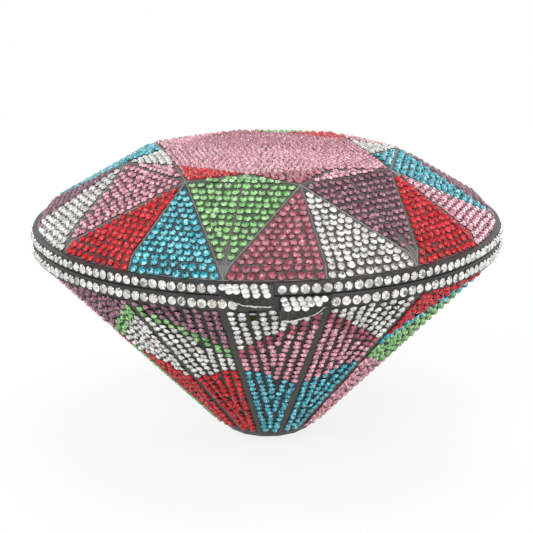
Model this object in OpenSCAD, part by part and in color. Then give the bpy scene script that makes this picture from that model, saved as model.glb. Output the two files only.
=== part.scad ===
// Crystal clutch in the shape of a round brilliant cut gem.
// The pavilion of the gem is the base and the crown is the lid. Millimetres.
// Origin: centre of the flat foot. +Z is up, the clasp faces -Y, the hinge is at +Y.
// Azimuths are measured from the front (-Y) towards +X.

/* [Body] */
// Radius of the metal girdle
rim_r = 84.3; // [70:0.1:100]
// Height of the seam between base and lid above the floor
seam_z = 78; // [70:0.5:90]
// Radius where the facets of the base would meet the bottom of the shell
foot_r = 16; // [12:0.5:20]
// Height of the rounded edge at the bottom of the base
foot_edge = 2.6; // [2:0.1:4]
// Thickness of the foot plate
foot_t = 1.2; // [0.8:0.1:2]
// Radius of the foot plate
foot_plate_r = 12; // [8:0.5:13]
// Thickness of both metal shells
wall_t = 1.2; // [1:0.1:1.8]
// Thickness of both linings
lining_t = 0.8; // [0.5:0.1:1.2]

/* [Crown] */
// Radius of the eight star points
star_r = 50; // [44:0.5:56]
// Height of the star points above the seam
star_h = 26.4; // [22:0.2:30]
// Height of the table corners above the seam
table_h = 27.4; // [26.8:0.2:31]
// Rise of the middle of the table over its corners
table_rise = 1.6; // [0.6:0.1:3]
// How far the bend, where the facets turn down to the rim, lies inside the foot of the crown
bend_in = 1.9; // [1.5:0.1:2.4]
// Height of that bend above the seam
bend_h = 8.2; // [7:0.1:9]
// Width of the bare ledge between the girdle and the foot of the crown facets
crown_ledge = 2.4; // [2:0.1:2.8]

/* [Girdle] */
// Height of the base band
base_band_h = 4.5; // [4.2:0.1:5]
// Height of the lid band
lid_band_h = 3.8; // [3.6:0.1:4.4]
// Gap between the two bands
seam_gap = 0.4; // [0.3:0.05:0.6]
// Wall thickness of both bands
band_t = 2; // [1.8:0.1:2.2]
// Thickness of the lip inside the base rim
lip_t = 1.3; // [1:0.1:1.5]
// Height of that lip above the seam
lip_h = 1.4; // [0.8:0.1:2]
// Diameter of a girdle crystal
rim_stone_d = 2.9; // [2.4:0.1:3.2]
// Number of crystal places in one full row
rim_stones = 150; // [140:1:155]
// Height of every crystal above the metal
stone_h = 0.7; // [0.5:0.05:0.9]

/* [Crystal fields] */
// Bare margin between a crown field and the edge of its facet
crown_margin = 0.9; // [0.6:0.1:1.4]
// Bare margin between a base field and the edge of its facet
base_margin = 1.1; // [0.8:0.1:1.6]

/* [Hinge] */
// How far the hinge pin lies outside the girdle
pin_out = 1.9; // [1.8:0.1:2.1]
// Radius of the hinge pin
pin_r = 0.7; // [0.6:0.05:0.8]
// Outer radius of a hinge knuckle
knuckle_r = 1.5; // [1.4:0.05:1.6]
// Length of the hinge
hinge_l = 24; // [20:1:28]
// Thickness of a hinge leaf
leaf_t = 0.9; // [0.8:0.05:1]

/* [Clasp] */
// How far the lugs stand out from the girdle radius
lug_out = 4.7; // [4:0.1:5.5]
// Azimuth of the square end of the clasp lug
clasp_end_angle = -0.3; // [-0.5:0.05:-0.2]
// Azimuth where the clasp lug runs out
clasp_tip_angle = -11.6; // [-12.5:0.1:-11]
// Azimuth of the square end of the catch lug
catch_end_angle = 0.9; // [0.8:0.05:1.2]
// Azimuth where the catch lug runs out
catch_tip_angle = 11.6; // [11:0.1:12.5]
// Travel of the clasp lug round the girdle, in degrees
travel_angle = 0.6; // [0.5:0.05:0.65]

/* [Chain eyelets] */
// Height of the eyelets above the seam
eyelet_h = 5.8; // [5.6:0.1:6]
// Radius of the hole in an eyelet
eyelet_hole = 1; // [0.8:0.1:1.2]

/* [Hidden] */
cut = 1.5;
step_angle = 22.5;
first_angle = -11.25;
star_angle = -33.75;
crown_r = rim_r - crown_ledge;
bend_r = crown_r - bend_in;
pin_y = rim_r + pin_out;
// girdle levels
base_top = seam_z - seam_gap / 2;
base_low = base_top - base_band_h;
lid_low = seam_z + seam_gap / 2;
lid_top = lid_low + lid_band_h;
band_in = rim_r - band_t;
lip_gap = 0.4;
lip_out = band_in - lip_gap;
flange_t = 1.1;
web_t = 1.4;
base_flange_w = 4.5;
base_flange_r = rim_r - base_flange_w;
lid_flange_w = 5.7;
lid_flange_r = rim_r - lid_flange_w;
// slope of the base
pav_step = 0.4;
pav_r = rim_r - pav_step;
function pav(z) = foot_r + (z - foot_t) * (pav_r - foot_r) / (base_low - foot_t);
pav_m = (pav_r - foot_r) / (base_low - foot_t);
function pav_off(w) = w * sqrt(1 + pav_m * pav_m) / cos(step_angle / 2);
edge_z = foot_t + foot_edge;
edge_flat_share = 0.88;
edge_mid_share = 0.28;
edge_round = 0.6;
lining_drop = 0.3;
// crown
table_k = cos(45) / cos(22.5);
bend_share = 0.9145;
flat_y = rim_r - leaf_t;
flat_side = 0.5;
flat_half = hinge_l / 2 + flat_side;
hinge_clear = 0.3;
screw_r = 0.6;
screw_head_r = 1;
screw_head_t = 0.5;
screw_in = 2.2;
screw_x = 8;
screw_base_drop = 2.7;
screw_lid_rise = 2.9;
// clasp
lug_gap = 0.3;
lug_z1 = 2.8;
lug_z2 = 4.4;
lug_low = 1.8;
lug_low_in = 2.2;
clasp_slope_angle = -6.5;
clasp_slope_tilt = 16.5;
catch_slope_angle = 4.5;
catch_slope_tilt = -9;
slope_run = 14;
slope_mid = 1.4;
slope_out = 1;
stones_end_angle = 0.2;
stones_tip_angle = 1.5;
rivet_r = 0.55;
rivet_head_r = 0.8;
rivet_head_t = 0.6;
rivet_depth = 2;
slider_z = 1.6;
slider_half = 1;
plate_t = 1;
plate_gap = 0.3;
strap_gap = 1;
strap_t = 0.7;
slot_half = 0.8;
tooth_w = 0.9;
tooth_in = 1.3;
tooth_h = 0.7;
tooth_drop = 1.9;
notch_gap = 0.25;
spring_t = 0.25;
spring_w = 1.5;
spring_l = 5;
spring_turns = 7;
catch_drop = 0.2;
catch_low = 6.2;
catch_low_in = 6.8;
catch_step = 3.7;
catch_angles = [4, 8];
catch_rivet_drop = 2.6;
// eyelets
eyelet_tube = 1.5;
eyelet_flange = 2;
eyelet_flange_t = 0.4;
eyelet_l = 4;
eyelet_tilt = atan((crown_r - bend_r) * cos(first_angle) / (bend_h - (lid_top - seam_z)));
eyelet_air = 0.1;
stone_air = 0.01;
front_up_angles = [-12.6, 0.4];
front_low_angles = [-8.6, 12.4];
back_gap_angle = 9.6;
stone_start_angle = 1.4;

function pol(r, a, z) = [r * sin(a), -r * cos(a), z];
function unit(v) = v / norm(v);
function flip(f) = [for (i = [len(f) - 1:-1:0]) f[i]];
function mix(a, b, t) = a + (b - a) * t;

// Solid of sixteen-sided rings, each [radius, height]: up the outside from the bottom, and for a
// shell down the inside again to its floor.
module stack(rings) {
    n = len(rings);
    pts = [for (q = rings) for (j = [0:15]) pol(q[0], first_angle + step_angle * j, q[1])];
    sides = [for (i = [0:n - 2]) for (j = [0:15])
        [i * 16 + j, i * 16 + (j + 1) % 16, (i + 1) * 16 + (j + 1) % 16, (i + 1) * 16 + j]];
    ends = [[for (j = [15:-1:0]) j], [for (j = [0:15]) (n - 1) * 16 + j]];
    polyhedron(points = pts, faces = [for (f = concat(sides, ends)) flip(f)]);
}

// Crown points: star point k, table corner k between star points k and k + 1,
// foot of a crown edge at half steps, bend points 0, 1, 2 to the left, at and right of star point k.
function star(k) = pol(star_r, star_angle + 45 * k, seam_z + star_h);
function table(k) = pol(star_r * table_k, star_angle + 22.5 + 45 * k, seam_z + table_h);
function crown_foot(k) = pol(crown_r, star_angle + 22.5 * k, lid_top);
function bend(k, j) = let (m = pol(bend_r, star_angle + 45 * k, seam_z + bend_h),
    f = crown_foot(2 * k + j - 1) - crown_foot(2 * k)) m + bend_share * f;

// Prism on a flat field: the outline drawn in by m and raised by h along its normal.
function normal(p) = unit(cross(p[1] - p[0], p[2] - p[0]));
function inward(p, i) = let (n = len(p)) cross(normal(p), unit(p[(i + 1) % n] - p[i]));
function drawn_in(p, m) = let (n = len(p)) [for (i = [0:n - 1])
    let (a = inward(p, (i + n - 1) % n), b = inward(p, i)) p[i] + m * (a + b) / (1 + a * b)];
module plate(p, m, h = stone_h) {
    q = drawn_in(p, m);
    n = len(q);
    up = normal(p) * h;
    polyhedron(points = concat(q, [for (v = q) v + up]), faces = concat(
        [[for (i = [0:n - 1]) i]], [[for (i = [n - 1:-1:0]) n + i]],
        [for (i = [0:n - 1]) flip([i, (i + 1) % n, n + (i + 1) % n, n + i])]));
}

// Block between two radii, two heights and two azimuths.
module arc(r0, r1, z0, z1, a0, a1) {
    rotate([0, 0, a0 - 90]) rotate_extrude(angle = a1 - a0, $fn = 360)
        translate([r0, z0]) square([r1 - r0, z1 - z0]);
}

// Round bar along a radius, from radius r0 to r1, at azimuth a and height z.
module radial(r0, r1, a, z, r) {
    rotate([0, 0, a - 90]) translate([r0, 0, z]) rotate([0, 90, 0])
        cylinder(r = r, h = r1 - r0, $fn = 32);
}

// Base
function base_ring(z) = [pav(z), z];
module base_shell() {
    color([0.25, 0.25, 0.27]) stack([[foot_r * edge_flat_share, foot_t],
        [pav(foot_t + edge_round), foot_t + foot_edge * edge_mid_share],
        [pav(edge_z), edge_z], [pav(base_low), base_low],
        [pav(base_low) - pav_off(wall_t), base_low],
        [pav(foot_t + wall_t) - pav_off(wall_t), foot_t + wall_t]]);
}
module foot_plate() {
    color([0.3, 0.3, 0.32]) cylinder(r = foot_plate_r, h = foot_t, $fn = 96);
}
module base_lining() {
    z0 = foot_t + wall_t;
    z1 = base_low - lining_drop;
    w = wall_t + lining_t;
    color([0.12, 0.1, 0.11]) stack([[pav(z0) - pav_off(wall_t), z0],
        [pav(z1) - pav_off(wall_t), z1], [pav(z1) - pav_off(w), z1],
        [pav(z0 + lining_t) - pav_off(w), z0 + lining_t]]);
}
module hinge_flat(z0, z1) {
    translate([-flat_half, flat_y, z0]) cube([2 * flat_half, leaf_t + cut, z1 - z0]);
}
module screw_bores(z) {
    for (x = [-screw_x, 0, screw_x]) translate([x, rim_r, z]) rotate([90, 0, 0])
        cylinder(r = screw_r, h = screw_in + cut, $fn = 32);
}
// pocket that the tooth of the clasp lug slides in, open at the top beside the hook
tooth_angle = -6;
function ang(w) = w / rim_r * 180 / PI;
module base_rim() {
    z_tooth = seam_z - tooth_drop;
    pocket_in = rim_r - tooth_in;
    color([0.33, 0.33, 0.35]) difference() {
        rotate_extrude($fn = 180) polygon([[base_flange_r, base_low], [rim_r, base_low],
            [rim_r, base_top], [lip_out, base_top], [lip_out, seam_z + lip_h],
            [lip_out - lip_t, seam_z + lip_h], [lip_out - lip_t, base_top - web_t],
            [band_in, base_top - web_t], [band_in, base_low + flange_t],
            [base_flange_r, base_low + flange_t]]);
        hinge_flat(base_low - cut, base_top + cut);
        screw_bores(seam_z - screw_base_drop);
        // room for the slider plate and its strap
        arc(lip_out - lip_t - cut, lip_out + lip_gap / 4, base_top + room_floor, seam_z + lip_h + cut,
            clasp_tip_angle - room_angle, spring_end_angle + strap_side_angle + room_angle);
        // pocket and way in for the tooth
        arc(pocket_in, rim_r + cut, z_tooth - notch_gap, z_tooth + tooth_h + notch_gap,
            tooth_angle - ang(notch_gap), tooth_angle + ang(tooth_w + notch_gap) + travel_angle);
        arc(pocket_in + notch_gap / 2, rim_r + cut, z_tooth, base_top + cut,
            tooth_angle - ang(notch_gap) + travel_angle, tooth_angle + ang(tooth_w + notch_gap / 2) + travel_angle);
        for (a = catch_angles) radial(band_in - cut, rim_r + cut, a, seam_z - catch_rivet_drop, rivet_r);
    }
}
// one row of crystals round a band, left out in the front and back gaps
module stone_row(z, front) {
    for (i = [0:rim_stones - 1]) {
        a0 = stone_start_angle + 360 / rim_stones * i;
        a = a0 > 180 ? a0 - 360 : a0;
        if ((a < front[0] || a > front[1]) && abs(a) < 180 - back_gap_angle)
            rotate([0, 0, a - 90]) translate([rim_r + stone_air, 0, z]) rotate([0, 90, 0])
                cylinder(r = rim_stone_d / 2, h = stone_h - stone_air, $fn = 8);
    }
}
module base_rim_stones() {
    color([0.9, 0.88, 0.86]) stone_row((base_low + base_top) / 2, front_low_angles);
}

// Facet f of the base runs from its left edge to its right edge; u is the share of the
// slope from the rim down. Even facets lie to the right of a plain line (type G), odd
// ones to its left. g and h are the shares at the two kinds of line.
function pav_pt(j, u) = let (z = mix(base_low, edge_z, u)) pol(pav(z), first_angle + step_angle * j, z);
function band(j, g0, g1, h0, h1) = let (e = j % 2 == 0,
    l0 = e ? g0 : h0, l1 = e ? g1 : h1, r0 = e ? h0 : g0, r1 = e ? h1 : g1)
    l0 == l1 ? [pav_pt(j, l1), pav_pt(j + 1, r1), pav_pt(j + 1, r0)]
    : r0 == r1 ? [pav_pt(j, l0), pav_pt(j, l1), pav_pt(j + 1, r1)]
    : [pav_pt(j, l0), pav_pt(j, l1), pav_pt(j + 1, r1), pav_pt(j + 1, r0)];
top_share = 0.295;
line_share = 0.365;
loz_share = 0.455;
line_low_share = 0.06;
loz_low_share = 0.56;
thin_margin = 0.35;
// section s holds facets 2s and 2s + 1; colour lists are for s = 0 .. 3 and repeat
top_cols = ["white", "red", "pink", "mauve"];
line_cols = ["rose", "cyan", "white", "green"];
loz_cols = ["pink", "green", "rose", "white"];
low_cols = ["cyan", "pink", "green", "red"];
module base_field(c) {
    for (j = [0:15]) {
        s = floor(j / 2) % 4;
        if (top_cols[s] == c) plate(band(j, 0, top_share, 0, 0), base_margin);
        if (line_cols[s] == c) plate(band(j, top_share, line_share, 0, line_low_share), thin_margin);
        if (loz_cols[s] == c) plate(band(j, line_share, loz_share, line_low_share, loz_low_share), base_margin);
        if (low_cols[s] == c) plate(band(j, loz_share, 1, loz_low_share, 1), base_margin);
    }
}
module base_field_mauve() { color([0.5, 0.34, 0.4]) base_field("mauve"); }
module base_field_white() { color([0.88, 0.87, 0.84]) base_field("white"); }
module base_field_red() { color([0.78, 0.1, 0.15]) base_field("red"); }
module base_field_rose() { color([0.78, 0.3, 0.42]) base_field("rose"); }
module base_field_cyan() { color([0.28, 0.7, 0.8]) base_field("cyan"); }
module base_field_green() { color([0.45, 0.74, 0.38]) base_field("green"); }
module base_field_pink() { color([0.8, 0.54, 0.6]) base_field("pink"); }

// Lugs: an arc block whose outer face is a round bar, so that it runs out at one end.
// d is the radius of the bar's centre, found from the two ends.
function bar_d(t) = let (r1 = rim_r + lug_out, r0 = rim_r + lug_gap)
    (r1 * r1 - r0 * r0) / (2 * (r1 - r0 * cos(t)));
module lug(profile, a_end, a_tip, extra) {
    d = bar_d(abs(a_tip - a_end));
    intersection() {
        rotate([0, 0, min(a_end, a_tip) - 90])
            rotate_extrude(angle = abs(a_tip - a_end), $fn = 360) polygon(profile);
        rotate([0, 0, a_end - 90]) translate([d, 0, 0]) rotate([0, 0, 100])
            cylinder(r = rim_r + lug_out - d + extra, h = 2 * seam_z, $fn = 96);
    }
}
// Takes away what lies under a plane through azimuth a and height z, tilted along the girdle.
module under_slope(a, z, tilt) {
    rotate([0, 0, a]) translate([0, -rim_r, z]) rotate([0, tilt, 0])
        translate([-slope_run, -slope_run, -slope_run])
        cube([2 * slope_run, 2 * slope_run, slope_run]);
}
clasp_profile = [[rim_r + lug_gap, lid_top - 0.2 * slope_out], [rim_r + slope_out, lid_top],
    [rim_r + lug_z1, seam_z + lug_z1], [rim_r + lug_z2, seam_z + slope_mid],
    [rim_r + lug_out + cut, seam_z + slope_mid - slope_out],
    [rim_r + lug_out + cut, seam_z - lug_low], [rim_r + lug_gap, seam_z - lug_low_in]];
// crystals on the sloping top: the same slope, raised by one crystal height
clasp_stone_profile = [[rim_r + slope_out, lid_top + stone_air],
    [rim_r + lug_z1, seam_z + lug_z1 + stone_air],
    [rim_r + lug_z2, seam_z + slope_mid + stone_air],
    [rim_r + lug_z2 + stone_h * 0.7, seam_z + slope_mid + stone_h * 0.7],
    [rim_r + lug_z1 + stone_h * 0.5, seam_z + lug_z1 + stone_h],
    [rim_r + slope_out + stone_h * 0.2, lid_top + stone_h]];
module clasp_lug() {
    z_tooth = seam_z - tooth_drop;
    color([0.3, 0.3, 0.32]) difference() {
        union() {
            lug(clasp_profile, clasp_end_angle, clasp_tip_angle, 0);
            arc(rim_r - tooth_in + notch_gap, rim_r + 2 * lug_gap, z_tooth, z_tooth + tooth_h,
                tooth_angle, tooth_angle + ang(tooth_w));
        }
        for (a = rivet_angles) radial(rim_r, rim_r + rivet_depth, a, seam_z + slider_z, rivet_r);
        under_slope(clasp_slope_angle, seam_z - lug_low_in, clasp_slope_tilt);
    }
}
module clasp_stones() {
    color([0.9, 0.88, 0.86])
        lug(clasp_stone_profile, clasp_end_angle - stones_end_angle,
            clasp_tip_angle + stones_tip_angle, -stone_h * 0.2);
}
catch_profile = [[rim_r, base_top - catch_drop], [rim_r + slope_out, base_top - catch_drop],
    [rim_r + lug_z1, seam_z - slope_mid], [rim_r + lug_z2, seam_z - lug_z1],
    [rim_r + lug_out + cut, seam_z - catch_step],
    [rim_r + lug_out + cut, seam_z - catch_low], [rim_r, seam_z - catch_low_in]];
catch_stone_profile = [[rim_r + slope_out, base_top - catch_drop + stone_air],
    [rim_r + lug_z1, seam_z - slope_mid + stone_air],
    [rim_r + lug_z2, seam_z - lug_z1 + stone_air],
    [rim_r + lug_z2 + stone_h * 0.7, seam_z - lug_z1 + stone_h * 0.7],
    [rim_r + lug_z1 + stone_h * 0.5, seam_z - slope_mid + stone_h],
    [rim_r + slope_out + stone_h * 0.2, base_top - catch_drop + stone_h]];
module catch_lug() {
    color([0.3, 0.3, 0.32]) difference() {
        lug(catch_profile, catch_end_angle, catch_tip_angle, 0);
        for (a = catch_angles) radial(rim_r - cut, rim_r + rivet_depth * 0.6, a,
            seam_z - catch_rivet_drop, rivet_r);
        under_slope(catch_slope_angle, seam_z - catch_low_in, catch_slope_tilt);
    }
}
module catch_stones() {
    color([0.9, 0.88, 0.86])
        lug(catch_stone_profile, catch_end_angle + stones_end_angle,
            catch_tip_angle - stones_tip_angle, -stone_h * 0.2);
}
module catch_rivets() {
    color([0.55, 0.55, 0.57]) for (a = catch_angles) {
        radial(band_in, rim_r + rivet_depth * 0.6, a, seam_z - catch_rivet_drop, rivet_r);
        radial(band_in - rivet_head_t, band_in, a, seam_z - catch_rivet_drop, rivet_head_r);
    }
}

// Hinge. Knuckles 0, 2 and 4 belong to the base, 1 and 3 to the lid.
knuckle_l = hinge_l / 5;
knuckle_air = 0.15;
module knuckles(list, up, bore) {
    for (i = list) {
        x0 = -hinge_l / 2 + knuckle_l * i + knuckle_air;
        l = knuckle_l - 2 * knuckle_air;
        z0 = up ? seam_z + hinge_clear / 2 : seam_z - knuckle_r;
        translate([x0, 0, 0]) difference() {
            union() {
                translate([0, flat_y, z0]) cube([l, pin_y - flat_y, knuckle_r - hinge_clear / 2]);
                translate([0, pin_y, seam_z]) rotate([0, 90, 0])
                    cylinder(r = knuckle_r, h = l, $fn = 64);
            }
            translate([-cut, pin_y, seam_z]) rotate([0, 90, 0])
                cylinder(r = bore, h = l + 2 * cut, $fn = 64);
        }
    }
}
running_fit = 0.04;
module hinge_base_leaf() {
    z0 = base_low + hinge_clear;
    color([0.35, 0.35, 0.37]) difference() {
        union() {
            translate([-hinge_l / 2, flat_y, z0]) cube([hinge_l, leaf_t,
                base_top - hinge_clear / 3 - z0]);
            knuckles([0, 2, 4], false, pin_r);
        }
        screw_bores(seam_z - screw_base_drop);
    }
}
module hinge_lid_leaf() {
    z0 = lid_low + hinge_clear / 3;
    color([0.35, 0.35, 0.37]) difference() {
        union() {
            translate([-hinge_l / 2, flat_y, z0]) cube([hinge_l, leaf_t,
                lid_top - hinge_clear - z0]);
            knuckles([1, 3], true, pin_r + running_fit);
        }
        screw_bores(seam_z + screw_lid_rise);
    }
}
module hinge_pin() {
    color([0.7, 0.7, 0.72]) translate([-hinge_l / 2 - knuckle_air, pin_y, seam_z])
        rotate([0, 90, 0]) cylinder(r = pin_r, h = hinge_l + 2 * knuckle_air, $fn = 64);
}
module screws(z) {
    color([0.6, 0.6, 0.62]) for (x = [-screw_x, 0, screw_x]) translate([x, rim_r, z])
        rotate([90, 0, 0]) {
            cylinder(r = screw_r, h = screw_in, $fn = 32);
            translate([0, 0, -screw_head_t]) cylinder(r = screw_head_r, h = screw_head_t, $fn = 48);
        }
}
module hinge_base_screws() { screws(seam_z - screw_base_drop); }
module hinge_lid_screws() { screws(seam_z + screw_lid_rise); }

// Lid
// Closed solid under a crown: d draws it in, e lowers the top, drop is how far its sides run
// straight down below the crown's foot.
module crown_solid(d, e, drop) {
    function in2(p, w) = let (r = norm([p[0], p[1]])) [p[0] * (1 - w / r), p[1] * (1 - w / r), p[2]];
    function low(p, w, h) = let (q = in2(p, w)) [q[0], q[1], q[2] - h];
    pts = concat(
        [[0, 0, seam_z + table_h + table_rise - e]],
        [for (k = [0:7]) low(table(k), d * 0.2, e)],
        [for (k = [0:7]) low(star(k), d * 0.5, e)],
        [for (k = [0:7]) for (j = [0:2]) low(bend(k, j), d, e)],
        [for (k = [0:15]) in2(crown_foot(k), d)],
        drop > 0 ? [for (k = [0:15]) low(crown_foot(k), d, drop)] : []);
    W = 1; V = 9; B = 17; F = 41;
    last = drop > 0 ? F + 16 : F;
    faces = concat(
        [for (k = [0:7]) [0, W + k, W + (k + 1) % 8]],
        [for (k = [0:7]) [W + (k + 7) % 8, V + k, W + k]],
        [for (k = [0:7]) [V + k, V + (k + 1) % 8, W + k]],
        [for (k = [0:7]) [V + k, B + 3 * k + 2, B + 3 * ((k + 1) % 8), V + (k + 1) % 8]],
        [for (k = [0:7]) [B + 3 * k + 2, F + 2 * k + 1, B + 3 * ((k + 1) % 8)]],
        [for (k = [0:7]) for (j = [0, 1]) [V + k, B + 3 * k + j, B + 3 * k + j + 1]],
        [for (k = [0:7]) [B + 3 * k, F + (2 * k + 15) % 16, F + 2 * k, B + 3 * k + 1]],
        [for (k = [0:7]) [B + 3 * k + 1, F + 2 * k, F + 2 * k + 1, B + 3 * k + 2]],
        drop > 0 ? [for (k = [0:15]) [F + k, F + 16 + k, F + 16 + (k + 1) % 16, F + (k + 1) % 16]] : [],
        [[for (k = [15:-1:0]) last + k]]);
    polyhedron(points = pts, faces = [for (f = faces) flip(f)]);
}
// place on the steep face at the side, s = 1 right, s = -1 left, +Z pointing out of the face
module at_eyelet(s) {
    rise = eyelet_h - (lid_top - seam_z);
    r = (crown_r - rise * (crown_r - bend_r) / (bend_h - (lid_top - seam_z))) * cos(first_angle);
    translate([s * r, 0, seam_z + eyelet_h]) rotate([0, s * (90 - eyelet_tilt), 0]) children();
}
module eyelet_bores(r) {
    for (s = [-1, 1]) at_eyelet(s) translate([0, 0, -eyelet_l]) cylinder(r = r, h = 2 * eyelet_l,
        $fn = 48);
}
module lid_shell() {
    color([0.42, 0.42, 0.44]) difference() {
        crown_solid(0, 0, 0);
        crown_solid(wall_t * 1.35, wall_t, cut);
        eyelet_bores(eyelet_tube);
    }
}
module lid_lining() {
    color([0.12, 0.1, 0.11]) difference() {
        crown_solid(wall_t * 1.35, wall_t, 0);
        crown_solid((wall_t + lining_t) * 1.35, wall_t + lining_t, cut);
        eyelet_bores(eyelet_tube);
    }
}
module lid_rim() {
    color([0.33, 0.33, 0.35]) difference() {
        rotate_extrude($fn = 180) polygon([[band_in, lid_low], [rim_r, lid_low],
            [rim_r, lid_top], [lid_flange_r, lid_top], [lid_flange_r, lid_top - flange_t],
            [band_in, lid_top - flange_t]]);
        hinge_flat(lid_low - cut, lid_top + cut);
        screw_bores(seam_z + screw_lid_rise);
        for (a = rivet_angles) arc(band_in - cut, rim_r + cut, seam_z + slider_z - slot_half,
            seam_z + slider_z + slot_half, a - ang(slot_half), a + ang(slot_half) + travel_angle);
        eyelet_bores(eyelet_tube + eyelet_air);
    }
}
module lid_rim_stones() {
    color([0.9, 0.88, 0.86]) stone_row((lid_low + lid_top) / 2, front_up_angles);
}
star_cols = ["red", "rose", "pink", "white"];
side_cols = ["green", "pink", "cyan", "pink"];
kite_cols = ["green", "mauve", "cyan", "pink"];
left_cols = ["red", "rose", "red", "mauve"];
right_cols = ["cyan", "white", "pink", "white"];
low_margin = 0.6;
module lid_field(c) {
    for (k = [0:7]) {
        i = k % 4;
        n = (k + 1) % 8;
        if (star_cols[i] == c) plate([table(k - 1), star(k), table(k)], crown_margin);
        if (side_cols[i] == c) plate([star(k), star(n), table(k)], crown_margin);
        // the green and mauve kites have a bare groove down the middle
        if (kite_cols[i] == c && i > 1) plate([star(k), bend(k, 2), bend(n, 0), star(n)], crown_margin);
        if (kite_cols[i] == c && i < 2) {
            mid_top = (star(k) + star(n)) / 2;
            mid_low = (bend(k, 2) + bend(n, 0)) / 2;
            plate([star(k), bend(k, 2), mid_low, mid_top], crown_margin);
            plate([mid_top, mid_low, bend(n, 0), star(n)], crown_margin);
        }
        if (left_cols[i] == c) {
            plate([star(k), bend(k, 0), bend(k, 1)], crown_margin);
            difference() {
                plate([bend(k, 0), crown_foot(2 * k - 1), crown_foot(2 * k), bend(k, 1)],
                    low_margin);
                eyelet_bores(eyelet_flange + stone_h);
            }
        }
        if (right_cols[i] == c) {
            plate([star(k), bend(k, 1), bend(k, 2)], crown_margin);
            plate([bend(k, 1), crown_foot(2 * k), crown_foot(2 * k + 1), bend(k, 2)], low_margin);
        }
    }
    // the table is one light pink field
    if (c == "pink") difference() {
        top = [0, 0, seam_z + table_h + table_rise];
        t0 = [for (k = [0:7]) mix(top, table(k), 1 - crown_margin / (star_r * table_k))];
        up = [0, 0, stone_h];
        pts = concat([top], t0, [for (p = concat([top], t0)) p + up]);
        polyhedron(points = pts, faces = [for (f = concat(
            [for (k = [0:7]) [0, 1 + (k + 1) % 8, 1 + k]],
            [for (k = [0:7]) [9, 10 + k, 10 + (k + 1) % 8]],
            [for (k = [0:7]) [1 + k, 1 + (k + 1) % 8, 10 + (k + 1) % 8, 10 + k]])) flip(f)]);
    }
}
module lid_field_mauve() { color([0.5, 0.34, 0.4]) lid_field("mauve"); }
module lid_field_white() { color([0.88, 0.87, 0.84]) lid_field("white"); }
module lid_field_red() { color([0.78, 0.1, 0.15]) lid_field("red"); }
module lid_field_rose() { color([0.78, 0.3, 0.42]) lid_field("rose"); }
module lid_field_cyan() { color([0.28, 0.7, 0.8]) lid_field("cyan"); }
module lid_field_green() { color([0.45, 0.74, 0.38]) lid_field("green"); }
module lid_field_pink() { color([0.8, 0.54, 0.6]) lid_field("pink"); }
module eyelet(s) {
    color([0.2, 0.2, 0.21]) at_eyelet(s) difference() {
        union() {
            translate([0, 0, -wall_t - lining_t]) cylinder(r = eyelet_tube,
                h = wall_t + lining_t + eyelet_flange_t, $fn = 48);
            cylinder(r = eyelet_flange, h = eyelet_flange_t, $fn = 48);
        }
        translate([0, 0, -eyelet_l]) cylinder(r = eyelet_hole, h = 2 * eyelet_l, $fn = 48);
    }
}
module eyelet_left() { eyelet(-1); }
module eyelet_right() { eyelet(1); }

// Clasp slider, inside the lid rim
plate_out = band_in - plate_gap;
plate_in = plate_out - plate_t;
strap_out = plate_in - strap_gap;
slider_start_angle = -10;
slider_side_angle = 2;
slider_end_angle = -2;
spring_end_angle = 2.7;
strap_side_angle = 2.5;
strap_foot_angle = 1.3;
room_angle = 1.3;
room_floor = 0.1;
rivet_angles = [-8.4, -3.6];
module slider_plate() {
    color([0.55, 0.55, 0.57]) difference() {
        arc(plate_in, plate_out, seam_z + slider_z - slider_half, seam_z + slider_z + slider_half,
            slider_start_angle, slider_end_angle);
        for (a = rivet_angles) radial(plate_in - cut, plate_out + cut, a, seam_z + slider_z, rivet_r);
    }
}
module clasp_rivets() {
    color([0.65, 0.65, 0.67]) for (a = rivet_angles) {
        radial(plate_in, rim_r + rivet_depth, a, seam_z + slider_z, rivet_r);
        radial(plate_in - rivet_head_t, plate_in, a, seam_z + slider_z, rivet_head_r);
    }
}
module slider_strap() {
    z0 = seam_z + slider_z - slider_half;
    z1 = seam_z + slider_z + slider_half;
    color([0.5, 0.5, 0.52]) {
        left = slider_start_angle - slider_side_angle;
        right = spring_end_angle + strap_side_angle;
        arc(strap_out - strap_t, strap_out, z0, z1, left, right);
        arc(strap_out - strap_t, band_in, z0, z1, left, left + slider_side_angle / 2);
        arc(strap_out - strap_t, band_in, z0, z1, right - strap_foot_angle, right);
    }
}
// flat zigzag strip, one end on the slider plate
module slider_spring() {
    a = slider_end_angle;
    p = spring_l / spring_turns;
    w = spring_w / 2 - spring_t;
    path = concat([[0, 0]], [for (i = [0:spring_turns - 1]) [p * (i + 0.5), i % 2 == 0 ? w : -w]],
        [[spring_l, 0]]);
    n = len(path);
    edge_a = [for (q = path) [q[0], q[1] - spring_t]];
    edge_b = [for (i = [n - 1:-1:0]) [path[i][0], path[i][1] + spring_t]];
    color([0.75, 0.75, 0.76]) rotate([0, 0, a])
        translate([0, -(plate_in + plate_out) / 2, seam_z + slider_z])
        rotate([90, 0, 0]) translate([0, 0, -plate_t * 0.35])
        linear_extrude(plate_t * 0.7) polygon(concat(edge_a, edge_b));
}

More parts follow.
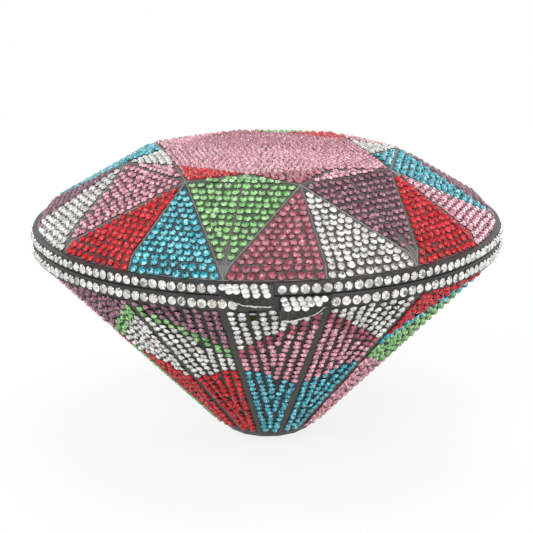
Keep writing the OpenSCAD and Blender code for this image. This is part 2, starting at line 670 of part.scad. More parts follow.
base_shell();
foot_plate();
base_rim();
base_lining();
base_rim_stones();
base_field_mauve();
base_field_white();
base_field_red();
base_field_rose();
base_field_cyan();
base_field_green();
base_field_pink();
catch_lug();
catch_stones();
catch_rivets();
hinge_base_leaf();
hinge_base_screws();
hinge_pin();
lid_shell();
lid_rim();
lid_lining();
lid_rim_stones();
lid_field_mauve();
lid_field_white();
lid_field_red();
lid_field_rose();
lid_field_cyan();
lid_field_green();
lid_field_pink();
hinge_lid_leaf();
hinge_lid_screws();
eyelet_left();
eyelet_right();
slider_strap();
clasp_lug();
clasp_stones();
slider_plate();
clasp_rivets();
slider_spring();
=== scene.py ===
# %% [markdown]
# # A crystal clutch in the shape of a cut gem
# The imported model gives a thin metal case: a lid shaped like the crown of a gem, a base shaped
# like its pavilion, two girdle bands, a hinge and a clasp. This script dresses it. It sets about
# six and a half thousand faceted crystals on the facets, brushes the metal, lines the inside, and
# then sets up the floor, the light and the camera. All sizes below are millimetres; meshes are
# written in metres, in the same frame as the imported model.

import bmesh
import bpy
import numpy as np
from mathutils import Matrix, Vector


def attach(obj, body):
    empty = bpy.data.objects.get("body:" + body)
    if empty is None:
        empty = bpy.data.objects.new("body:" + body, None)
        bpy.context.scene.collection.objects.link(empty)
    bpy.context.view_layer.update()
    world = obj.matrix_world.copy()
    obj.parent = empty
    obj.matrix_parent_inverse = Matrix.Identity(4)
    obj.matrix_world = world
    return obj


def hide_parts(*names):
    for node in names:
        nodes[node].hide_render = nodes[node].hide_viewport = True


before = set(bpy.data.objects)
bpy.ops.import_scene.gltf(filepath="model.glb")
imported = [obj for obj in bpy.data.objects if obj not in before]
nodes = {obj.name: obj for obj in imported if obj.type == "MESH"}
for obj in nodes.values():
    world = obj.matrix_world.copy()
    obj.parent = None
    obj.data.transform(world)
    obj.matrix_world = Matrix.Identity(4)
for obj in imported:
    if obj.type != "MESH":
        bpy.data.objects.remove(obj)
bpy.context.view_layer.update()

# %% [markdown]
# ## The sizes of the case
# The crystals have to sit exactly on the metal, so the script works out the same facets as the
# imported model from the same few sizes. Angles are measured from the front towards the right.

# %% Sizes of the case
RIM_R, SEAM_Z = 84.3, 78.0                # girdle radius, height of the seam
LID_LOW, LID_TOP = 78.2, 82.0             # lid band
BASE_LOW, BASE_TOP = 73.3, 77.8           # base band
STAR_R, STAR_H = 50.0, 26.4               # the eight star points, height over the seam
TABLE_H, TABLE_RISE = 27.4, 1.6           # corners of the table over the seam, middle over them
BEND_R, BEND_H, CROWN_R = 80.0, 8.2, 81.9  # bend of the lower crown facets, and their foot
BEND_SHARE = 0.9145                       # width of a facet at the bend, as a share of its foot
FOOT_R, FOOT_T, EDGE_Z = 16.0, 1.2, 3.8   # foot plate, and where the base's slopes end over it
EDGE_R = RIM_R - 0.4                      # corners of the base under its band
WALL_T = 1.2                              # wall of both shells
STEP, FIRST, STAR_A = 22.5, -11.25, -33.75  # one of 16 sides; first base edge, first star point
HALF_COS = np.cos(np.radians(STEP / 2))   # middle of a side, over the corner radius
STONE_H, TABLE_STONE_H = 1.12, 0.9        # height of a crystal over the metal
SUNK, BED_RISE = 0.05, 0.07               # stones and beds start under the metal; beds end over it
Z_AXIS = np.array([0, 0, 1.0])


def pol(r, a, z):
    """Point at radius r, azimuth a in degrees from the front, and height z; arrays may be given."""
    a = np.radians(a)
    r, a, z = np.broadcast_arrays(np.asarray(r, float), a, np.asarray(z, float))
    return np.stack([r * np.sin(a), -r * np.cos(a), z], -1)


def unit(v):
    """Vector divided by its length, along the last axis."""
    return v / np.linalg.norm(v, axis=-1, keepdims=True)


def pav(z):
    """Corner radius of the sixteen-sided base at height z: a straight line from foot to girdle."""
    return FOOT_R + (z - FOOT_T) * (EDGE_R - FOOT_R) / (BASE_LOW - FOOT_T)


# %% [markdown]
# ## One helper that makes every mesh
# A mesh is a list of points and a list of faces. Thousands of small faces are quickest to write
# as three flat arrays: the points, the corner numbers of all faces in a row, and how many corners
# each face has. `foreach_set` hands over such an array in one go.

# %% Mesh helper
def put_mesh(name, points, corners, counts, values=None, smooth=False):
    """Mesh from flat arrays. points is (n, 3) in mm, corners the vertex numbers of all faces in
    a row, counts the corners of each face; values maps an attribute's name to one number a face."""
    mesh = bpy.data.meshes.new(name)
    points = np.asarray(points, np.float32).reshape(-1, 3) * 0.001
    corners, counts = (np.asarray(v, np.int32).ravel() for v in (corners, counts))
    starts = np.concatenate([[0], np.cumsum(counts)[:-1]]).astype(np.int32)
    mesh.vertices.add(len(points))
    mesh.vertices.foreach_set("co", points.ravel())
    mesh.loops.add(len(corners))
    mesh.loops.foreach_set("vertex_index", corners)
    mesh.polygons.add(len(counts))
    mesh.polygons.foreach_set("loop_start", starts)
    mesh.polygons.foreach_set("use_smooth", np.full(len(counts), smooth))
    for key, value in (values or {}).items():
        layer = mesh.attributes.new(key, "FLOAT", "FACE")
        layer.data.foreach_set("value", np.asarray(value, np.float32).ravel())
    mesh.update(calc_edges=True)
    mesh.validate()
    made = bpy.data.objects.new(name, mesh)
    bpy.context.scene.collection.objects.link(made)
    return made


def tidy(piece):
    """Merges doubled points, drops faces without area and makes all normals point outwards."""
    work = bmesh.new()
    work.from_mesh(piece.data)
    bmesh.ops.remove_doubles(work, verts=work.verts, dist=1e-7)
    bmesh.ops.dissolve_degenerate(work, edges=work.edges, dist=1e-8)
    bmesh.ops.recalc_face_normals(work, faces=work.faces)
    work.to_mesh(piece.data)
    work.free()
    return piece


def grid_faces(rows, cols, wrap_rows=False, wrap_cols=False):
    """Corner numbers of the four-sided faces of a grid of points with rows x cols points."""
    i = np.arange(rows if wrap_rows else rows - 1)[:, None]
    j = np.arange(cols if wrap_cols else cols - 1)[None, :]
    i2, j2 = (i + 1) % rows, (j + 1) % cols
    return np.stack([i * cols + j, i * cols + j2, i2 * cols + j2, i2 * cols + j], -1).reshape(-1, 4)


def circle(e1, e2, sides):
    """Unit circles in the planes of the directions e1 and e2, each (n, 3): points (n, sides, 3),
    where point j is e1 cos(angle j) + e2 sin(angle j)."""
    a = 2 * np.pi * np.arange(sides) / sides
    return e1[:, None] * np.cos(a)[None, :, None] + e2[:, None] * np.sin(a)[None, :, None]


def dress(piece, body, material, slot, *stands_for):
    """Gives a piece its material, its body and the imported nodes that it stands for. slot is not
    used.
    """
    piece.data.materials.append(material)
    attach(piece, body)
    if stands_for:
        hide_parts(*stands_for)
    return piece


# %% [markdown]
# ## Building materials from nodes
# Each material below is a small graph of nodes. Short helpers keep the graphs readable: one adds a
# node and fills or links its inputs, the others make the kinds of node that come up often. Colours
# are written as they look on a screen and turned into the linear values that the renderer uses.

# %% Node helpers
def srgb(*rgb):
    """Screen colour 0..255 as a linear colour with alpha 1."""
    c = np.array(rgb, float) / 255
    c = np.where(c <= 0.04045, c / 12.92, ((c + 0.055) / 1.055) ** 2.4)
    return (*c.tolist(), 1.0)


def add(tree, kind, inputs=None, **settings):
    """New node of a kind; inputs maps socket names or numbers to a value or to another socket."""
    made = tree.nodes.new(kind)
    for key, value in settings.items():
        setattr(made, key, value)
    for key, value in (inputs or {}).items():
        if isinstance(value, bpy.types.NodeSocket):
            tree.links.new(value, made.inputs[key])
        else:
            made.inputs[key].default_value = value
    return made


def calc(tree, operation, a, b=0.0, c=0.0, clamp=False):
    """Output of a Math node."""
    made = add(tree, "ShaderNodeMath", {0: a, 1: b, 2: c}, operation=operation, use_clamp=clamp)
    return made.outputs[0]


def here(tree):
    """Place on the piece in metres, the Object output of a Texture Coordinate node."""
    return add(tree, "ShaderNodeTexCoord").outputs["Object"]


def noise(tree, place, scale, detail, **more):
    """Cloudy pattern around 0.5 at the points place * scale; more sets further inputs."""
    inputs = {"Vector": place, "Scale": scale, "Detail": detail, **more}
    return add(tree, "ShaderNodeTexNoise", inputs).outputs["Fac"]


def ramp(tree, value, low, high, start=0.0, end=1.0, how="LINEAR"):
    """Value that goes from start to end while the input goes from low to high."""
    inputs = {"Value": value, "From Min": low, "From Max": high, "To Min": start, "To Max": end}
    return add(tree, "ShaderNodeMapRange", inputs, interpolation_type=how).outputs[0]


def grey(tree, value):
    """Grey colour of a value."""
    return add(tree, "ShaderNodeCombineColor", {0: value, 1: value, 2: value}).outputs[0]


def blend_colours(tree, share, a, b, how="MIX"):
    """Output of a colour Mix node: a where share is 0, b where it is 1."""
    made = add(tree, "ShaderNodeMix", data_type="RGBA", blend_type=how)
    for key, kind, value in (("Factor", "VALUE", share), ("A", "RGBA", a), ("B", "RGBA", b)):
        socket = next(s for s in made.inputs if s.name == key and s.type == kind)
        if isinstance(value, bpy.types.NodeSocket):
            tree.links.new(value, socket)
        else:
            socket.default_value = value
    return next(s for s in made.outputs if s.type == "RGBA")


def new_group(name, inputs, outputs):
    """Empty node group with named inputs (name, kind, default) and outputs (name, kind)."""
    tree = bpy.data.node_groups.new(name, "ShaderNodeTree")
    for label, kind, default in inputs:
        socket = tree.interface.new_socket(label, in_out="INPUT", socket_type="NodeSocket" + kind)
        socket.default_value = default
    for label, kind in outputs:
        tree.interface.new_socket(label, in_out="OUTPUT", socket_type="NodeSocket" + kind)
    return tree, tree.nodes.new("NodeGroupInput"), tree.nodes.new("NodeGroupOutput")


def new_material(name, **constants):
    """Material with a Principled shader; constants go straight onto the shader's sockets."""
    material = bpy.data.materials.new(name)
    material.use_nodes = True
    shader = material.node_tree.nodes["Principled BSDF"]
    for key, value in constants.items():
        shader.inputs[key.replace("_", " ")].default_value = value
    return material, material.node_tree, shader


# %% [markdown]
# ## Brushed gunmetal
# The case is dark metal with fine scratches that run down the slopes, so the pattern is noise
# squeezed to thin lines: it changes fast round the case and slowly with height. The direction
# round the case is the point's x and y divided by its distance from the middle axis, which has no
# join anywhere. A broad cloud makes the finish uneven, as handling does, and a second, coarser
# set of streaks dulls some places. One group serves all the metals.

# %% Group for brushed metal
brushed, brushed_in, brushed_out = new_group(
    "brushed_metal",
    [("Colour", "Color", (0.1, 0.1, 0.1, 1)), ("Light", "Color", (0.3, 0.3, 0.3, 1)),
     ("Round", "Float", 230.0), ("Along", "Float", 150.0), ("Roughness", "Float", 0.4)],
    [("Colour", "Color"), ("Roughness", "Float"), ("Height", "Float")])
place = here(brushed)
axes = add(brushed, "ShaderNodeSeparateXYZ", {0: place}).outputs
away = calc(brushed, "MAXIMUM", calc(brushed, "SQRT", calc(
    brushed, "ADD", calc(brushed, "MULTIPLY", axes[0], axes[0]),
    calc(brushed, "MULTIPLY", axes[1], axes[1]))), 0.004)
turn_x, turn_y = (calc(brushed, "MULTIPLY", calc(brushed, "DIVIDE", axes[i], away),
                       brushed_in.outputs["Round"]) for i in (0, 1))
level = calc(brushed, "MULTIPLY", axes[2], brushed_in.outputs["Along"])
line_at = add(brushed, "ShaderNodeCombineXYZ", {0: turn_x, 1: turn_y, 2: level}).outputs[0]
fine = noise(brushed, line_at, 1.0, 3.0, Roughness=0.7)
coarse = noise(brushed, line_at, 0.22, 2.0)
cloud = noise(brushed, place, 55.0, 3.0)
scratch = ramp(brushed, fine, 0.5, 0.78)
shade = calc(brushed, "MULTIPLY_ADD", coarse, 0.75, 0.62)
shade = calc(brushed, "MULTIPLY", shade, calc(brushed, "MULTIPLY_ADD", cloud, 0.5, 0.75))
ground = blend_colours(brushed, 1.0, brushed_in.outputs["Colour"], grey(brushed, shade), "MULTIPLY")
scratched = blend_colours(brushed, calc(brushed, "MULTIPLY", scratch, 0.55), ground,
                          brushed_in.outputs["Light"])
uneven = calc(brushed, "MULTIPLY_ADD", cloud, 0.22, -0.11)
for socket, value in (
        ("Colour", scratched),
        ("Roughness", calc(brushed, "ADD", brushed_in.outputs["Roughness"], uneven)),
        ("Height", calc(brushed, "ADD", fine, calc(brushed, "MULTIPLY", coarse, 0.6)))):
    brushed.links.new(value, brushed_out.inputs[socket])


def metal(name, colour, light, roughness, metallic, round_=230.0, along=150.0, bump=0.25, **more):
    """Metal material: the brushed group with this metal's own colours, streaks and roughness."""
    made, tree, shader = new_material(name, Metallic=metallic, **more)
    group = add(tree, "ShaderNodeGroup", node_tree=brushed)
    for key, value in (("Colour", colour), ("Light", light), ("Round", round_), ("Along", along),
                       ("Roughness", roughness)):
        group.inputs[key].default_value = value
    tree.links.new(group.outputs["Colour"], shader.inputs["Base Color"])
    tree.links.new(group.outputs["Roughness"], shader.inputs["Roughness"])
    relief = add(tree, "ShaderNodeBump", {"Height": group.outputs["Height"], "Strength": bump,
                                          "Distance": 0.00012})
    tree.links.new(relief.outputs[0], shader.inputs["Normal"])
    return made


# One gunmetal in lit and shaded copies. The base and the bands are painted darker than the lid, as
# painted shade where they face down or lie under the edge above them. The ridges are painted
# lighter, as a painted highlight on raised edges.
lid_metal = metal("gunmetal_lid", srgb(76, 74, 73), srgb(128, 126, 124), 0.45, 0.4)
base_metal_shaded = metal("gunmetal_base_shaded", srgb(42, 40, 39), srgb(80, 78, 76), 0.48, 0.4)
band_metal_shaded = metal("gunmetal_band_shaded", srgb(52, 50, 50), srgb(98, 96, 94), 0.44, 0.35, 60.0, 900.0)
ridge_metal_highlight = metal("gunmetal_ridge_highlight", srgb(118, 116, 113), srgb(164, 162, 158), 0.38, 0.4)
lug_metal = metal("gunmetal_lug", srgb(54, 54, 53), srgb(102, 100, 98), 0.32, 0.8, 80.0, 700.0)
hinge_metal = metal("gunmetal_hinge", srgb(80, 79, 78), srgb(130, 128, 126), 0.34, 0.7, 90.0, 600.0)
steel = metal("bright_steel", srgb(168, 167, 163), srgb(215, 214, 210), 0.25, 0.9, 260.0, 500.0,
              0.12)
solder = metal("solder", srgb(186, 184, 178), srgb(235, 233, 228), 0.3, 0.65, 40.0, 400.0, 0.5)
print("metals:", [m.name for m in (lid_metal, base_metal_shaded, band_metal_shaded, ridge_metal_highlight, lug_metal,
                                   hinge_metal, steel, solder)])

# %% [markdown]
# ## Crystals
# A flat-back crystal is a small dome of glass with facets and a mirror foil behind it. The foil
# sends light back through some facets and not through others, so each stone is a patchwork of
# bright and deep pieces of one colour. Tracing that light through thousands of stones would be
# slow and noisy, and would be lost in the exported model. Instead every face carries two numbers:
# how much light that facet sends back, and the tint of its stone. The material turns them into a
# deep, a body and a nearly white colour, under a glassy coat that adds the real reflections.

# %% Group for crystal colour
facet, facet_in, facet_out = new_group(
    "crystal_facets",
    [("Deep", "Color", (0, 0, 0, 1)), ("Body", "Color", (0.5, 0.5, 0.5, 1)),
     ("Flash", "Color", (1, 1, 1, 1)), ("Bed", "Color", (0.03, 0.03, 0.03, 1))],
    [("Colour", "Color"), ("Roughness", "Float")])
# painted light and shade: each face's glint picks painted shade (Deep), the glass's body colour
# (Body) or a painted highlight (Flash)
flash = add(facet, "ShaderNodeAttribute", attribute_name="glint").outputs["Fac"]
stone_tint_and_bed_shade = add(facet, "ShaderNodeAttribute", attribute_name="stone_tint_and_bed_shade").outputs["Fac"]
low = ramp(facet, flash, 0.0, 0.5, how="SMOOTHSTEP")
high = ramp(facet, flash, 0.55, 1.0)
inner = blend_colours(facet, low, facet_in.outputs["Deep"], facet_in.outputs["Body"])
inner = blend_colours(facet, high, inner, facet_in.outputs["Flash"])
rim = ramp(facet, flash, 0.0, 0.1, 0.25)                    # the wall of a stone lies in shade
change = calc(facet, "MULTIPLY", calc(facet, "MULTIPLY_ADD", stone_tint_and_bed_shade, 0.4, 0.8), rim)
stone = blend_colours(facet, 1.0, inner, grey(facet, change), "MULTIPLY")
# the bed: glue grey with a random grain, times the bed's tint value, which is its painted
# brightness: painted shade between the stones
glue_and_shade = noise(facet, here(facet), 900.0, 2.0)
glue_and_shade = calc(facet, "MULTIPLY", calc(facet, "MULTIPLY_ADD", glue_and_shade, 5.0, -0.6), stone_tint_and_bed_shade)
glue_and_shade = blend_colours(facet, 1.0, facet_in.outputs["Bed"], grey(facet, glue_and_shade), "MULTIPLY")
is_bed = calc(facet, "LESS_THAN", flash, -0.5)
facet.links.new(blend_colours(facet, is_bed, stone, glue_and_shade), facet_out.inputs["Colour"])
facet.links.new(calc(facet, "MAXIMUM", calc(facet, "MULTIPLY_ADD", stone_tint_and_bed_shade, 0.12, 0.06),
                     calc(facet, "MULTIPLY", is_bed, 0.55)), facet_out.inputs["Roughness"])

# %% [markdown]
# Six colours of glass, and the clear ones. Each has a deep tone, painted shade on the darker facets
# and the walls between them, a body tone, and a flash, a painted highlight. The bed of glue round
# the stones takes a little of the deep tone, as painted colour that the stones throw onto it.

# %% Crystal materials
TONES = {
    "mauve": ((60, 36, 44), (114, 70, 85), (178, 138, 150)),
    "white": ((82, 80, 76), (194, 192, 187), (241, 241, 239)),
    "red": ((126, 12, 20), (190, 18, 30), (208, 76, 82)),
    "rose": ((104, 40, 54), (162, 70, 88), (186, 138, 146)),
    "cyan": ((0, 58, 72), (36, 151, 168), (158, 222, 230)),
    "green": ((32, 80, 28), (106, 168, 92), (184, 214, 168)),
    "pink": ((98, 46, 58), (190, 120, 136), (240, 199, 207)),
}
BED_GREY, BED_METAL, BED_GLASS = (64, 61, 61), 0.82, 0.18   # the glue's grey; shares of it and of the deep tone, the deep share a painted colour thrown from the stones
crystal = {}
for colour, tones in TONES.items():
    made, tree, shader = new_material("crystal_" + colour, IOR=1.5, Specular_IOR_Level=0.2,
                                      Coat_Weight=0.1, Coat_Roughness=0.02)
    group = add(tree, "ShaderNodeGroup", node_tree=facet)
    bed = [BED_METAL * own + BED_GLASS * glass for own, glass in zip(BED_GREY, tones[0])]
    for key, tone in zip(("Deep", "Body", "Flash", "Bed"), (*tones, bed)):
        group.inputs[key].default_value = srgb(*tone)
    tree.links.new(group.outputs["Colour"], shader.inputs["Base Color"])
    tree.links.new(group.outputs["Roughness"], shader.inputs["Roughness"])
    crystal[colour] = made
print("crystal colours:", sorted(crystal))

# %% [markdown]
# ## The shape of one crystal
# Every stone is one small pattern, repeated: a low round wall, a ring of facets and a flat table
# on top. The pattern has a few dozen faces, because it is used thousands of times. The copies are
# worked out all at once: each stone has a middle, three directions, a width and a height, and a
# product of arrays places all the points.

# %% Crystal pattern
def gem_pattern(n, table=0.46, girdle=0.32):
    """Unit crystal: n points round the back (radius 1.04, height 0), n round the girdle (radius 1,
    height girdle), n/2 round the table (radius table, height 1). Returns points, corners, counts
    and for each face the direction it leans towards and a kind: 0 wall or back, 1 long facet,
    2 table, 3 short facet."""
    m = n // 2
    a, b = 2 * np.pi * np.arange(n) / n, 2 * np.pi * np.arange(m) / m
    ring = np.stack([np.cos(a), np.sin(a)], -1)
    top = table * np.stack([np.cos(b), np.sin(b)], -1)
    points = np.concatenate([np.c_[ring * 1.04, np.zeros(n)], np.c_[ring, np.full(n, girdle)],
                             np.c_[top, np.ones(m)]])
    j, k = np.arange(n), np.arange(m)
    wall = np.stack([j, (j + 1) % n, n + (j + 1) % n, n + j], -1)
    main = np.stack([n + 2 * k + 1, 2 * n + (k + 1) % m, 2 * n + k], -1)
    left = np.stack([2 * n + k, n + (2 * k - 1) % n, n + 2 * k], -1)
    right = np.stack([2 * n + k, n + 2 * k, n + (2 * k + 1) % n], -1)
    parts = (j[::-1], wall, main, left, right, 2 * n + k)
    corners = np.concatenate([part.ravel() for part in parts])
    counts = np.concatenate([[n], np.full(n, 4), np.full(3 * m, 3), [m]])
    lean = np.concatenate([[0], j + 0.5, 2 * k + 1, 2 * k - 0.5, 2 * k + 0.5, [0]])
    lean = lean * 2 * np.pi / n
    kind = np.concatenate([np.zeros(n + 1), np.ones(m), np.full(2 * m, 3), [2]])
    return points, corners, counts, lean, kind


SMALL, LARGE = gem_pattern(12), gem_pattern(16, 0.54, 0.3)
WIDTH_SPREAD, TABLE_SPREAD = 0.035, 0.14    # chance in a stone's width and in its table's glint
LONG_EXTRA, FLASH_SHARE = 0.16, 0.04        # painted glint that long facets add; share of facets painted as full flashes, painted highlights
rng = np.random.default_rng(12)


def set_stones(name, pattern, at, up, over, width, height=STONE_H, down=0.24, spread=0.17,
               level=0.5, middle=0.1, tilt=0.05, beds=(), bed_light=0.75):
    """Copies of a pattern. at, up and over are (n, 3): place, direction of the table, and the
    uphill direction in the stone's plane. Each copy is turned about up by a random angle and leans
    a little, by tilt. A facet's glint is its painted light and shade: level, plus down on the
    downhill side, which is painted brighter as light sent out by the foil, plus chance as wide as
    spread; the table's is middle, the painted brightness of the stone's centre. A few facets are
    painted as full flashes, painted highlights, and the walls as painted shade. beds are flat
    outlines or pairs of grids of points, drawn as slabs of glue with a glint of -1 and bed_light in
    place of a stone's tint: the bed's painted brightness."""
    points, corners, counts, lean, kind = pattern
    n = len(at)
    up = unit(up + rng.normal(0, tilt, (n, 3)))
    side = unit(np.cross(over, up))
    over = np.cross(up, side)
    turn = rng.uniform(0, 2 * np.pi, n)[:, None]
    ex = side * np.cos(turn) + over * np.sin(turn)
    ey = over * np.cos(turn) - side * np.sin(turn)
    wide = np.broadcast_to(width, n) * rng.normal(1, WIDTH_SPREAD, n) / 2
    p = points[None]
    verts = (at[:, None] + p[..., :1] * (ex * wide[:, None])[:, None]
             + p[..., 1:2] * (ey * wide[:, None])[:, None] + p[..., 2:] * (up * height)[:, None])
    faces = corners[None] + (np.arange(n) * len(points))[:, None]
    downhill = -np.sin(lean[None] + turn)
    level, down, spread, middle = (np.reshape(v, (-1, 1)) for v in (level, down, spread, middle))
    glint = level + down * downhill + LONG_EXTRA * (kind == 1)
    glint = glint + spread * rng.normal(0, 1, downhill.shape)
    glint = np.where(kind == 2, middle + rng.normal(0, TABLE_SPREAD, (n, 1)), glint)
    glint = np.where((kind > 0) & (rng.random(glint.shape) < FLASH_SHARE), 1.0, glint)
    glint = np.where(kind == 0, 0.0, np.maximum(glint, 0.1))
    stone_tints_and_bed_shades = np.repeat(rng.random(n)[:, None], len(counts), 1)
    verts, faces, counts = verts.reshape(-1, 3), faces.ravel(), np.tile(counts, n)
    glint, stone_tints_and_bed_shades = np.clip(glint, 0, 1).ravel(), stone_tints_and_bed_shades.ravel()
    for outline in beds:
        slab, corners, edges = (bed_slab if outline.ndim == 2 else bed_sheet)(outline, len(verts))
        verts, faces = np.concatenate([verts, slab]), np.r_[faces, corners]
        counts, glint = np.r_[counts, edges], np.r_[glint, np.full(len(edges), -1.0)]
        stone_tints_and_bed_shades = np.r_[stone_tints_and_bed_shades, np.full(len(edges), bed_light)]
    return put_mesh(name, verts, faces, counts, {"glint": glint, "stone_tint_and_bed_shade": stone_tints_and_bed_shades})


def bed_slab(outline, start, inset=0.3):
    """Thin slab on a flat outline: the outline drawn in by inset on every side, once just under
    the metal and once over it. start is the number of the first point."""
    n = len(outline)
    out = unit(np.cross(outline[1] - outline[0], outline[2] - outline[0]))
    inward = np.cross(out, unit(np.roll(outline, -1, axis=0) - outline))
    before = np.roll(inward, 1, axis=0)
    drawn = outline + inset * (before + inward) / (1 + (before * inward).sum(1, keepdims=True))
    i, j = np.arange(n), (np.arange(n) + 1) % n
    corners = np.concatenate([i[::-1], n + i, np.stack([i, j, n + j, n + i], -1).ravel()]) + start
    points = np.concatenate([drawn - SUNK * out, drawn + BED_RISE * out])
    return points, corners, np.r_[n, n, np.full(n, 4)]


def bed_sheet(grids, start):
    """Closed slab between two grids of points (2, rows, cols, 3), the inner one first; rows run
    down and columns to the right as seen from outside. start is the number of the first point."""
    rows, cols = grids.shape[1:3]
    n, faces = rows * cols, grid_faces(rows, cols)
    i, j = np.arange(rows), np.arange(cols)
    edge = np.r_[i * cols, (rows - 1) * cols + j[1:], i[-2::-1] * cols + cols - 1, j[-2:0:-1]]
    after = np.roll(edge, -1)
    walls = np.stack([edge, after, n + after, n + edge], -1)
    corners = np.concatenate([faces, n + faces[:, ::-1], walls])
    return grids.reshape(-1, 3), corners.ravel() + start, np.full(len(corners), 4)


print("faces in one small crystal:", len(SMALL[2]), "and in one large:", len(LARGE[2]))

# %% [markdown]
# ## Rows of crystals on a facet of the lid
# A setter fills a flat facet row by row. The rows run along one edge, and each row is spread out
# so that its first and last stones follow the neighbouring edges. In plane coordinates that is a
# line cut by the facet's outline drawn inwards, which is only a few divisions.

# %% Row filler
def plane(outline):
    """Origin, along, up-slope and outward directions of a flat outline, along its first edge."""
    outward = unit(np.cross(outline[1] - outline[0], outline[2] - outline[0]))
    along = unit(outline[1] - outline[0])
    return outline[0], along, np.cross(outward, along), outward


def push_apart(spots, least, rounds=12):
    """Moves points that are nearer than least away from each other, each by half of what is
    missing, a few rounds long. The sum over all neighbours is one product of arrays."""
    for _ in range(rounds):
        between = spots[:, None] - spots[None]
        gap = np.linalg.norm(between, axis=-1) + 99 * np.eye(len(spots))
        spots = spots + (between * (np.clip(least - gap, 0, None) / 2 / gap)[..., None]).sum(1)
    return spots


def fill_rows(outline, first, width, pitch, row, margins, wobble=0.24):
    """Places of crystals on a flat outline. Rows run along edge number first, row apart; margins
    gives the bare distance at each edge. Each row is stretched to reach both side edges. The ends
    of the rows are set with care and the rest by eye, so those wobble more."""
    outline = np.roll(np.asarray(outline, float), -first, axis=0)
    margins = np.roll(np.broadcast_to(margins, len(outline)), -first)
    origin, along, across, outward = plane(outline)
    flat = np.stack([(outline - origin) @ along, (outline - origin) @ across], -1)
    edge = unit(np.roll(flat, -1, axis=0) - flat)
    inward = np.stack([-edge[:, 1], edge[:, 0]], -1)
    reach = (inward * flat).sum(1) + margins + width / 2      # inward . p >= reach
    # every crossing of two inner lines that no third line cuts off is a corner of the free space
    one, two = np.triu_indices(len(flat), 1)
    pair = np.stack([inward[one], inward[two]], 1)
    cross = np.abs(np.linalg.det(pair)) > 1e-6
    both = np.stack([reach[one], reach[two]], 1)[cross]
    inner = np.linalg.solve(pair[cross], both[..., None])[..., 0]
    inner = inner[(inner @ inward.T >= reach - 1e-6).all(1)]
    if not len(inner):
        return np.zeros((0, 3)), outward
    low, high = inner[:, 1].min(), inner[:, 1].max()
    found, loose = [], []
    for y in np.linspace(low, high, max(1, int(round((high - low) / row)) + 1)):
        slant = np.abs(inward[:, 0]) > 1e-9
        x = (reach[slant] - inward[slant, 1] * y) / inward[slant, 0]
        left, right = x[inward[slant, 0] > 0].max(), x[inward[slant, 0] < 0].min()
        n = max(1, int((right - left) / pitch + 0.66) + 1) if right - left > 0.55 * pitch else 1
        xs = np.linspace(left, right, n) if n > 1 else np.array([(left + right) / 2])
        found.append(np.stack([xs, np.full(n, y)], -1))
        loose.append(np.where((np.arange(n) == 0) | (np.arange(n) == n - 1), 0.35, 1.0))
    found = np.concatenate(found)
    found = found + rng.normal(0, wobble, found.shape) * np.concatenate(loose)[:, None]
    found = push_apart(found, 1.02 * width)
    return origin + found[:, :1] * along + found[:, 1:] * across, outward


# %% [markdown]
# ## The facets of the lid
# Eight star points carry the pattern: small triangles between star points and the table, kites
# that hang down between them, and pairs of triangles that stand on the girdle. The lowest part of
# those turns down steeply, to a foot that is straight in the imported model; here it is rounded out
# to the circle of the girdle, as in the photograph. The colours repeat twice round the lid.

# %% Corner points of the lid
def star(k):
    """Star point k, one every second side."""
    return pol(STAR_R, STAR_A + 2 * STEP * k, SEAM_Z + STAR_H)


def corner(k):
    """Corner of the table between star points k and k + 1. The square through every second star
    point touches the table's sides: corner radius = star radius cos 45 / cos 22.5."""
    radius = STAR_R * np.cos(np.pi / 4) / np.cos(np.pi / 8)
    return pol(radius, STAR_A + STEP + 2 * STEP * k, SEAM_Z + TABLE_H)


def foot(k):
    """Foot of a crown edge, one at every side's end."""
    return pol(CROWN_R, STAR_A + STEP * k, LID_TOP)


def bend(k, j):
    """Bend point 0, 1 or 2: to the left of, under and to the right of star point k."""
    middle = pol(BEND_R, STAR_A + 2 * STEP * k, SEAM_Z + BEND_H)
    return middle + BEND_SHARE * (foot(2 * k + j - 1) - foot(2 * k))


top = np.array([0, 0, SEAM_Z + TABLE_H + TABLE_RISE])
lid_places, lid_beds = ({colour: [] for colour in TONES} for _ in range(2))


def fan_out(points, azimuth):
    """Moves points of the steep strip with this middle azimuth outwards, so that its straight foot
    becomes part of the circle through the crown's feet. A point at share low of the way down moves
    by low times the gap between circle and chord. Returns the points and outward directions."""
    drop = SEAM_Z + BEND_H - LID_TOP
    off = (np.degrees(np.arctan2(points[..., 0], -points[..., 1])) - azimuth + 180) % 360 - 180
    low = (SEAM_Z + BEND_H - points[..., 2]) / drop
    gap = CROWN_R * (1 - HALF_COS / np.cos(np.radians(off)))
    more = 1 + low * gap / np.hypot(points[..., 0], points[..., 1])
    moved = points * np.stack([more, more, np.ones_like(more)], -1)
    run = (CROWN_R - BEND_R) * HALF_COS + gap
    return moved, unit(drop * pol(1, azimuth + low * off, 0) + run[..., None] * Z_AXIS)


def strip_bed(strip, azimuth, left, right, high, low):
    """Pair of grids for the bed on part of a steep strip: shares across and down the strip."""
    u, t = np.linspace(left, right, 12)[None, :, None], np.linspace(high, low, 5)[:, None, None]
    flat = (1 - t) * ((1 - u) * strip[0] + u * strip[3]) + t * ((1 - u) * strip[1] + u * strip[2])
    over, up = fan_out(flat, azimuth)
    return np.stack([flat - SUNK * plane(strip)[3], over + BED_RISE * up])


# beds of a steep strip, as shares across (left, right) and down (high, low); the second set
# leaves the hole of an eyelet free
WHOLE = [(0.012, 0.988, 0.04, 1.0)]
HOLED = [(0.012, 0.458, 0.04, 1.0), (0.542, 0.988, 0.04, 1.0), (0.458, 0.542, 0.04, 0.33),
         (0.458, 0.542, 0.81, 1.0)]
LEAN_BACK = 0.2                           # steep stones are set in thick glue and lean back


